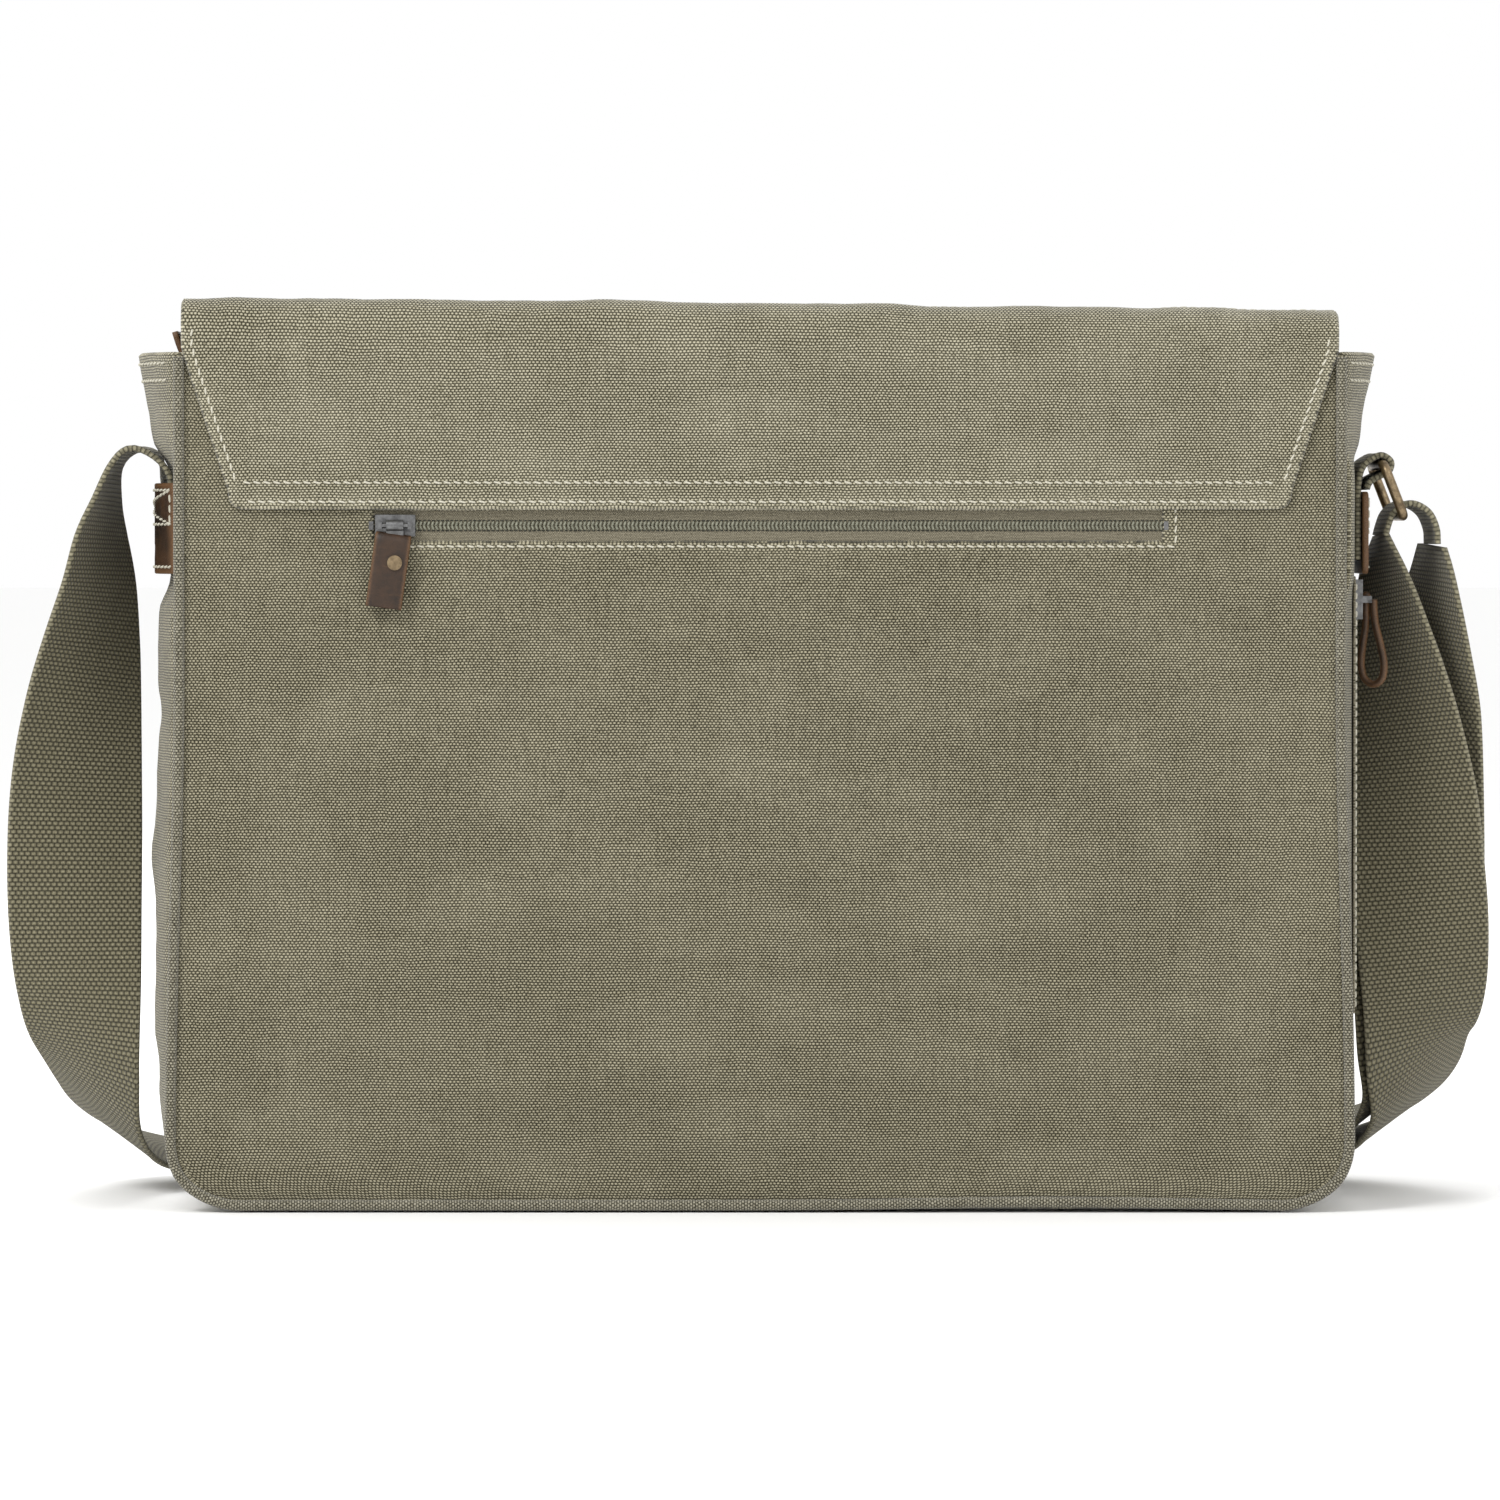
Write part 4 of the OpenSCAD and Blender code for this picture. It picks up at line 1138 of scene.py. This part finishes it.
def bands():
    """The main zip's two canvas bands, its end patch and the coil along them"""
    for name in ("rear", "front"):
        low, high = mm_box(name + "_zip_band")
        us, vs = hem_lines(6, low[0], high[0]), hem_lines(3, low[1], high[1])

        def surface(u, v, top=high[2], low=low, high=high):
            edge = np.minimum(v - low[1], high[1] - v)
            return np.stack([u, v, top + 0.35 * ripple(u, v, 24, 3.3) * step01(edge, 0, 8)], -1)

        sheet_piece(name + "_zip_band_cloth", surface, us, vs, 1.7, CANVAS, name + "_band",
                    [name + "_zip_band"], "canvas")
        coil_low, coil_high = mm_box(name + "_zip_coil")
        y = (coil_low[1] + coil_high[1]) / 2
        z = coil_low[2] + 0.2
        teeth(name + "_zip_teeth", [straight((coil_low[0], y, z), (coil_high[0], y, z), (0, 0, 1))],
              name + "_band", [name + "_zip_coil"])
        sewn = MIDDLE + (6 if name == "rear" else -6)
        stitches(name + "_zip_band_thread", [seam(surface, [(low[0] + 3, sewn), (high[0] - 3, sewn)])],
                 name + "_band")
    low, high = mm_box("zip_end_patch")

    def patch(u, v):
        return np.stack([u, v, high[2] + 0.4 * ripple(u, v, 20, 6.1) - 0.2], -1)

    sheet_piece("zip_end_patch_cloth", patch, hem_lines(4, low[0], high[0]),
                hem_lines(4, low[1], high[1]), 1.7, CANVAS, "bag", ["zip_end_patch"], "canvas")
    coil_low, coil_high = mm_box("zip_end_coil")
    z = coil_low[2] + 0.3
    reach = 26
    ends = ((coil_low[0], coil_low[0] + reach), (coil_high[0] - reach, coil_high[0]))
    for i, s in enumerate((0.85, -0.85)):
        parts = [straight((a, MIDDLE + s, z), (b, MIDDLE + s, z), (0, 0, 1)) for a, b in ends]
        row = stitches(f"zip_end_teeth_{i}", parts, "bag", pitch=1.45, length=2.5, width=1.05,
                       height=0.85, slant=COIL_SLANTS[i], material=COIL)
        fit(row, nodes=["zip_end_coil"])


def zip_tail():
    """The zip's leather end, which turns up past the left side wall"""
    low, high = mm_box("zip_tail")
    rises = [(low[0], 0), (180, 0), (192, 0.2), (198, 3.5), (201.5, 10), (205, 18), (206.8, 23.5)]
    z = (low[2] + low[2] + 2) / 2
    line = catmull([(x, MIDDLE, z + rise) for x, rise in rises], 2)
    wide = np.tile((0.0, 1.0, 0.0), (len(line), 1))
    sweep("zip_tail_leather", line, wide, strip_section(high[1] - low[1], 2), LEATHER, "bag",
          ["zip_tail"], "leather")


def side_zip():
    """The side pocket's zip, low on the right side wall"""
    low, high = mm_box("side_zip_tape")
    y = (low[1] + high[1]) / 2

    def surface(u, v):
        return np.stack([low[0] - 0.25 + 0.1 * ripple(u, v, 8, 17.7), u, v], -1)

    sheet_piece("side_zip_tape_cloth", surface, lines(2, high[1], low[1]), lines(3, low[2], high[2]),
                0.8, LIT_TAPE, "bag", ["side_zip_tape"], "zip_tape")
    coil_low, coil_high = mm_box("side_zip_coil")
    x = coil_high[0] - 0.5
    runs = [straight((x, y + s, coil_high[2]), (x, y + s, coil_low[2]), (-1, 0, 0))
            for s in (0.85, -0.85)]
    teeth("side_zip_teeth", runs, "bag", ["side_zip_coil"])
    rows = [straight((low[0] - 0.5, y + s, high[2] - 2), (low[0] - 0.5, y + s, low[2] + 2), (-1, 0, 0))
            for s in (4.2, -4.2)]
    stitches("side_zip_thread", rows, "bag", pitch=3.2, length=2.3, width=0.6)


def side_pull():
    """A thin leather cord looped through the side slider's bar"""
    low, high = mm_box("side_pull_loop")
    y = (low[1] + high[1]) / 2
    x = high[0] - 2.1
    z = high[2] - 2.1
    loop = [(0, 1.6), (-3, 1.5), (-9, 1.9), (-16, 3.4), (-23, 4.4), (-28, 3.3), (-30, 0),
            (-28, -3.3), (-23, -4.4), (-16, -3.4), (-9, -1.9), (-3, -1.5), (0, -1.6)]
    turn = math.radians(62)
    rows = [(x - 0.4 + a * 0.05 - b * math.sin(turn), y + b * math.cos(turn), z + a) for a, b in loop]
    knot = [(x + 1.3, y + 1.2, z + 0.8), (x + 0.6, y + 0.6, z + 1.6), (x + 0.6, y - 0.6, z + 1.6),
            (x + 1.3, y - 1.2, z + 0.8)]
    tube("side_pull_cord", rows + knot[::-1], 1.35, LEATHER, 1.2, body="side_pull",
         nodes=["side_pull_loop"], slot="leather")


def hardware():
    """The metal parts, shown as the CAD has them with broken edges"""
    for node in ("back_zip_stops", "back_slider", "back_pull_link", "main_slider", "main_pull_link",
                 "side_slider"):
        metal(node, NICKEL, 0.35)
    for node in ("closure_rivets", "left_snap_stud", "right_snap_stud", "snap_sockets",
                 "back_pull_rivet", "main_pull_rivet"):
        metal(node, BRASS, 0.5)
    for node in ("strap_ring", "adjuster_frame", "adjuster_bar"):
        metal(node, BRASS, 0.7)


# ---- straps

# The strap lies as the CAD has it. Each row is a point on its middle line in millimetres and the
# direction of its width: up the left side, over, down, under the bag's front and up to the ring.
STRAP_MAIN = [
    (210.4, 10, 228, 0, 1, 0), (210.4, 10, 250, 0, 1, 0), (211.4, 10, 258.5, 0, 1, 0),
    (215.5, 10, 265.5, 0, 1, 0), (223, 10, 267, 0, 1, 0), (229, 10, 261, 0, 1, 0),
    (232, 10, 249, 0.12, 1, 0), (234, 10, 236, 0.3, 0.95, 0), (235, 10, 218, 0.48, 0.88, 0),
    (237.5, 10, 198, 0.66, 0.75, 0), (240.5, 10, 176, 0.82, 0.57, 0), (243, 9, 150, 0.94, 0.34, 0),
    (244, 8, 122, 1, 0.1, 0), (244, 6, 96, 1, -0.1, 0.02), (243, 3, 72, 0.93, -0.3, 0.1),
    (241, -5, 49, 0.82, -0.5, 0.25), (238, -21, 31, 0.65, -0.7, 0.32), (230, -47, 18, 0.5, -0.82, 0.26),
    (212, -72, 10.5, 0.32, -0.92, 0.14), (182, -87, 6.2, 0.15, -0.97, 0.06),
    (148, -92, 3.2, 0.05, -1, 0), (112, -93, 1.6, 0, -1, 0), (60, -93, 1.3, 0, -1, 0),
    (0, -93, 1.3, 0, -1, 0), (-50, -93, 1.6, 0, -1, 0), (-66, -93, 3.4, 0, -1, 0),
    (-76, -93, 5, 0, -1, 0), (-81.5, -93, 8.5, 0, -1, 0), (-85, -93, 12.8, 0, -1, 0),
    (-90, -93, 14.8, 0, -1, 0), (-95, -93, 12.8, 0, -1, 0), (-98.5, -93, 8.5, 0, -1, 0),
    (-104, -93, 5, 0, -1, 0), (-120, -93, 5.2, 0, -1, 0), (-148, -91, 8.2, -0.05, -1, 0),
    (-182, -87, 14, -0.15, -0.97, 0.06), (-212, -72, 22, -0.32, -0.92, 0.14),
    (-228, -47, 32, -0.5, -0.82, 0.26), (-233, -21, 44, -0.65, -0.7, 0.32),
    (-233, -7, 59, -0.82, -0.5, 0.25), (-234, 0, 77, -0.93, -0.3, 0.1),
    (-234.5, 2.5, 98, -1, -0.1, 0.02), (-234.5, 4, 124, -0.98, 0.18, 0), (-235, 5, 150, -0.92, 0.38, 0),
    (-236.5, 6, 176, -0.78, 0.6, 0), (-238, 8, 200, -0.52, 0.85, 0), (-239, 9.5, 219, -0.28, 0.96, 0),
    (-239, 10, 233, -0.1, 1, 0),
]
# The second layer, from the ring back down to the adjuster's bar
STRAP_RETURN = [
    (-220.6, 10, 237, 0, 1, 0), (-221.5, 10.5, 222, -0.28, 0.96, 0), (-224, 11.5, 204, -0.48, 0.88, 0),
    (-227, 12, 186, -0.64, 0.77, 0), (-230, 12, 166, -0.78, 0.62, 0), (-232.5, 12, 142, -0.92, 0.38, 0),
    (-234, 11, 118, -0.98, 0.18, 0), (-236, 9, 94, -1, -0.1, 0.02), (-237, 5, 73, -0.93, -0.3, 0.1),
    (-236, -3, 53, -0.82, -0.5, 0.25), (-236, -19, 37, -0.65, -0.7, 0.32),
    (-229, -46, 24.5, -0.5, -0.82, 0.26), (-212, -72, 14, -0.32, -0.92, 0.14),
    (-182, -87, 7, -0.15, -0.97, 0.06), (-148, -91, 2.8, -0.05, -1, 0), (-120, -93, 1.3, 0, -1, 0),
    (-103, -93, 1.3, 0, -1, 0),
]
_, STRAP_W, _ = mm_box("strap_end_fold")[1] - mm_box("strap_end_fold")[0]
STRAP_T = 2.1


def webbing(name, rows, body, nodes, width=STRAP_W, spacing=2.4, curl=0.0):
    """A length of webbing through rows of place and width direction. Returns it and its line."""
    line = catmull(rows, spacing)
    middle, wide = line[:, :3], unit(line[:, 3:])
    wave = ripple(np.arange(len(line)) * spacing, 0, 60, len(name), 2)
    way = unit(np.gradient(middle, axis=0))
    lift = unit(np.cross(wide, way)) * (wave * curl)[:, None]
    count, held = np.arange(len(line)), 12
    ends = step01(count, 0, held) * (1 - step01(count, len(line) - 1 - held, len(line) - 1))
    obj = sweep(name, middle + lift * ends[:, None], wide, webbing_section(width, STRAP_T), WEBBING,
                body, nodes, "webbing")
    return obj, middle


def length_of(line):
    return float(np.linalg.norm(np.diff(line, axis=0), axis=1).sum()) * MM


def level(rows, y=MIDDLE + 1):
    """Rows of X and Z as strap rows whose width is along Y"""
    return [(x, y, z, 0, 1, 0) for x, z in rows]


def straps():
    sewn = [(*row[:3], -0.12, 0.99, 0) for row in STRAP_MAIN[:3]]
    main, main_line = webbing("strap_main_webbing", sewn + STRAP_MAIN[3:], "bag", ["strap_main"],
                              curl=0.5)
    back, back_line = webbing("strap_return_webbing", STRAP_RETURN, "bag", ["strap_return"], curl=0.4)
    bar = np.array(mm_box("adjuster_bar")).mean(axis=0)
    x, z = bar[0], bar[2]
    wrap = [(x - 12, 1.35), (x - 8, 1.7), (x - 3.4, 4.0), (x, 5.35), (x + 2.9, 7.2), (x + 3.1, z + 1),
            (x, z + 3.1), (x - 2.9, z + 1), (x - 4.6, z - 2), (x - 8.2, 4.6)]
    end_fold, _ = webbing("strap_end_webbing", level(wrap, bar[1]), "bag", ["strap_end_fold"],
                          spacing=0.9)
    turn = [(-239, 233.5), (-238.6, 239), (-236, 244.6), (-231, 247.7), (-226.3, 247.2),
            (-223.2, 244.3), (-221.6, 240.4), (-220.6, 236.5)]
    fold, _ = webbing("strap_fold_webbing", level(turn), None, ["strap_fold"], spacing=0.9)
    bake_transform(fold)
    [c * MM for c in main_line[0]]
    length_of(main_line)
    [c * MM for c in back_line[0]]
    length_of(back_line)


def ring_loop():
    """A strip of webbing sewn to the right side wall that turns over the ring's upper bar"""
    x, z = -219.5, 261.5
    rows = [(-210.8, 228), (-210.8, 244), (-211, 255), (-212.6, 260.8), (x + 3.2, z + 2.4), (x, z + 3.3),
            (x - 3.0, z + 1), (x - 2.2, z - 2.4), (x + 1.2, z - 4.1), (x + 4.4, z - 6), (-213.9, 253)]
    webbing("ring_loop_webbing", level(rows), "bag", ["ring_loop"], spacing=0.9)


def side_tabs():
    """The leather patches that hold the webbing to the side walls"""
    for node, (_, side) in zip(("left_strap_tab", "right_ring_tab"), SIDES):
        low, high = mm_box(node)
        x = (low[0] + high[0]) / 2

        def place(a, b, h, x=x, side=side):
            y = side * a
            drop = 9.5 * step01(y, 22, 52) if side > 0 else 0
            return np.stack([x + side * h - drop, y, b], -1)

        a0, a1 = sorted((side * low[1], side * high[1]))
        outline = densify(rounded_box(a0, low[2], a1, high[2], 3, 4))
        slab(node + "_leather", outline, 2.2, place, LEATHER, body="bag", nodes=[node], slot="leather")

        def face(u, v, place=place):
            return place(u, v, np.full(np.shape(u), 1.15))

        b0, b1 = low[2] + 2.5, high[2] - 2.5
        corners = [(a0 + 3, b1), (a0 + 3, b1 - 12), (a1 - 3, b1 - 12), (a1 - 3, b1)]
        paths = [[(a0 + 3, b0), (a1 - 3, b0)]]
        paths += [[p, q] for p, q in zip(corners, corners[1:] + corners[:1])]
        paths += [[corners[0], corners[2]], [corners[1], corners[3]]]
        stitches(node + "_thread", [seam(face, path) for path in paths], "bag", pitch=3.6, length=2.8)


# ---- stitching


def back_stitches():
    """The rows round the zip's window on the back panel"""
    def on_back(x, z):
        return back_surface(x / (half_width(z) - 0.2), z)

    def run(x0, z0, x1, z1):
        return seam(on_back, [(x1, z1), (x0, z0)])

    low_row, high_row = zip_low[2] - 1.8, zip_high[2] + 2
    end = zip_mid - zip_half - 2.4
    stitches("zip_window_thread", [run(zip_mid + zip_half - 14, low_row, end, low_row),
                                   run(end, low_row, end, high_row)], "bag")


def on_flap(x, run):
    """The flap's surface by distance across instead of share of its width"""
    return flap_surface(x / flap_half(run), run)


def flap_stitches():
    hem, inset = 1.8, 3.0
    rows = []
    for run in (hem, hem + 6.7):
        reach = float(flap_half(run)) - 5
        rows.append(seam(on_flap, [(reach, run), (-reach, run)]))
    for side in (1, -1):
        path = [(side * (float(flap_half(r)) - inset), r) for r in np.linspace(9, 60, 12)]
        rows.append(seam(on_flap, path))
    stitches("yoke_thread", rows, "bag", slant=14)
    start = run_at(-55) + 9
    for inset in (3.2, 9.5):
        sides = [(float(flap_half(r)) - inset, r) for r in np.linspace(start, FLAP_END - 22, 20)]
        corner = [(FLAP_HALF - 0.5 - FLAP_CORNER + (FLAP_CORNER - inset) * math.cos(t),
                   FLAP_END - FLAP_CORNER + (FLAP_CORNER - inset) * math.sin(t))
                  for t in np.linspace(0, math.pi / 2, 8)]
        right = [(-x, r) for x, r in reversed(sides + corner)]
        stitches(f"flap_edge_thread_{int(inset)}", [seam(on_flap, sides + corner + right)],
                 "flap_front")
    for name, body, cut in (("ridge", "flap_ridge", RIDGE_CUT + 2.4), ("top", "flap_top", TOP_CUT - 2.4),
                            ("rear", "flap_top", TOP_CUT + 2.4)):
        reach = FLAP_HALF - 6
        stitches(f"flap_{name}_thread", [seam(on_flap, [(reach, run_at(cut)), (-reach, run_at(cut))])],
                 body)


def closure_stitches():
    for name, _ in SIDES:
        low, high = mm_box(name + "_closure_strap")
        y, inset = low[1] - 0.3, 2.2
        corners = [(low[0] + inset, low[2] + inset), (high[0] - inset, low[2] + inset),
                   (high[0] - inset, high[2] - inset), (low[0] + inset, high[2] - inset)]
        rows = [straight((a, y, b), (c, y, d), (0, -1, 0))
                for (a, b), (c, d) in zip(corners, corners[1:] + corners[:1])]
        stitches(name + "_closure_thread", rows, "flap_front")


def pocket_stitches(name, surface, low, high):
    rows = [seam(surface, [(low[0] + 12, high[2] - drop), (high[0] - 12, high[2] - drop)])
            for drop in (3, 14)]
    stitches(name + "_thread", rows, "bag")


def rim_stitches():
    """The hem round the tops of the side walls"""
    for name, side in SIDES:
        surface = side_surface(side)
        rows = [seam(surface, [(FRONT + 4, TOP - drop), (BACK - 4, TOP - drop)][::side])
                for drop in (3, 9)]
        stitches(name + "_rim_thread", rows, "bag")


# ---- light and floor


def light(name, where, aim, size, watts):
    data = bpy.data.lights.new(name, "AREA")
    data.shape = "DISK"
    data.size = size
    data.energy = watts
    lamp = bpy.data.objects.new(name, data)
    lamp.location = where
    lamp.rotation_euler = (Vector(aim) - Vector(where)).to_track_quat("-Z", "Y").to_euler()
    bpy.context.scene.collection.objects.link(lamp)


def studio():
    """A plain pale floor that runs out of sight, and soft light from all round"""
    floor_mesh = bpy.data.meshes.new("floor")
    reach = 30
    corners = [(x * reach, y * reach, 0) for x, y in ((-1, -1), (1, -1), (1, 1), (-1, 1))]
    floor_mesh.from_pydata(corners, [], [(0, 1, 2, 3)])
    floor = bpy.data.objects.new("floor", floor_mesh)
    floor.location.z = cad_box[0][2] - 0.0006
    n = Nodes("floor")
    floor_mesh.materials.append(n.finish((0.97, 0.97, 0.965, 1), 0.9))
    bpy.context.scene.collection.objects.link(floor)
    world = bpy.data.worlds.new("studio")
    world.use_nodes = True
    world.node_tree.nodes["Background"].inputs["Color"].default_value = (1, 1, 1, 1)
    world.node_tree.nodes["Background"].inputs["Strength"].default_value = 1.0
    bpy.context.scene.world = world
    light("key", (1.5, 1.9, 2.3), (0, 0, 0.2), 1.1, 52)
    light("fill", (-2.0, 2.2, 1.2), (0, 0, 0.16), 1.6, 12)
    light("front", (0.4, -2.6, 1.8), (0, 0, 0.16), 1.6, 34)
    bpy.context.scene.view_settings.view_transform = "Standard"


# ---- the bag

back_panel()
front_panel()
side_walls()
base()
pipings()
lining()
divider()
back_pocket()
flap()
closures()
for side_name, _ in SIDES:
    pocket_stitches(side_name + "_pocket", *pocket(side_name + "_pocket"))
back_zip()
bands()
zip_tail()
side_zip()
side_pull()
hardware()
zip_pulls()
straps()
ring_loop()
side_tabs()
back_stitches()
flap_stitches()
closure_stitches()
rim_stitches()
studio()
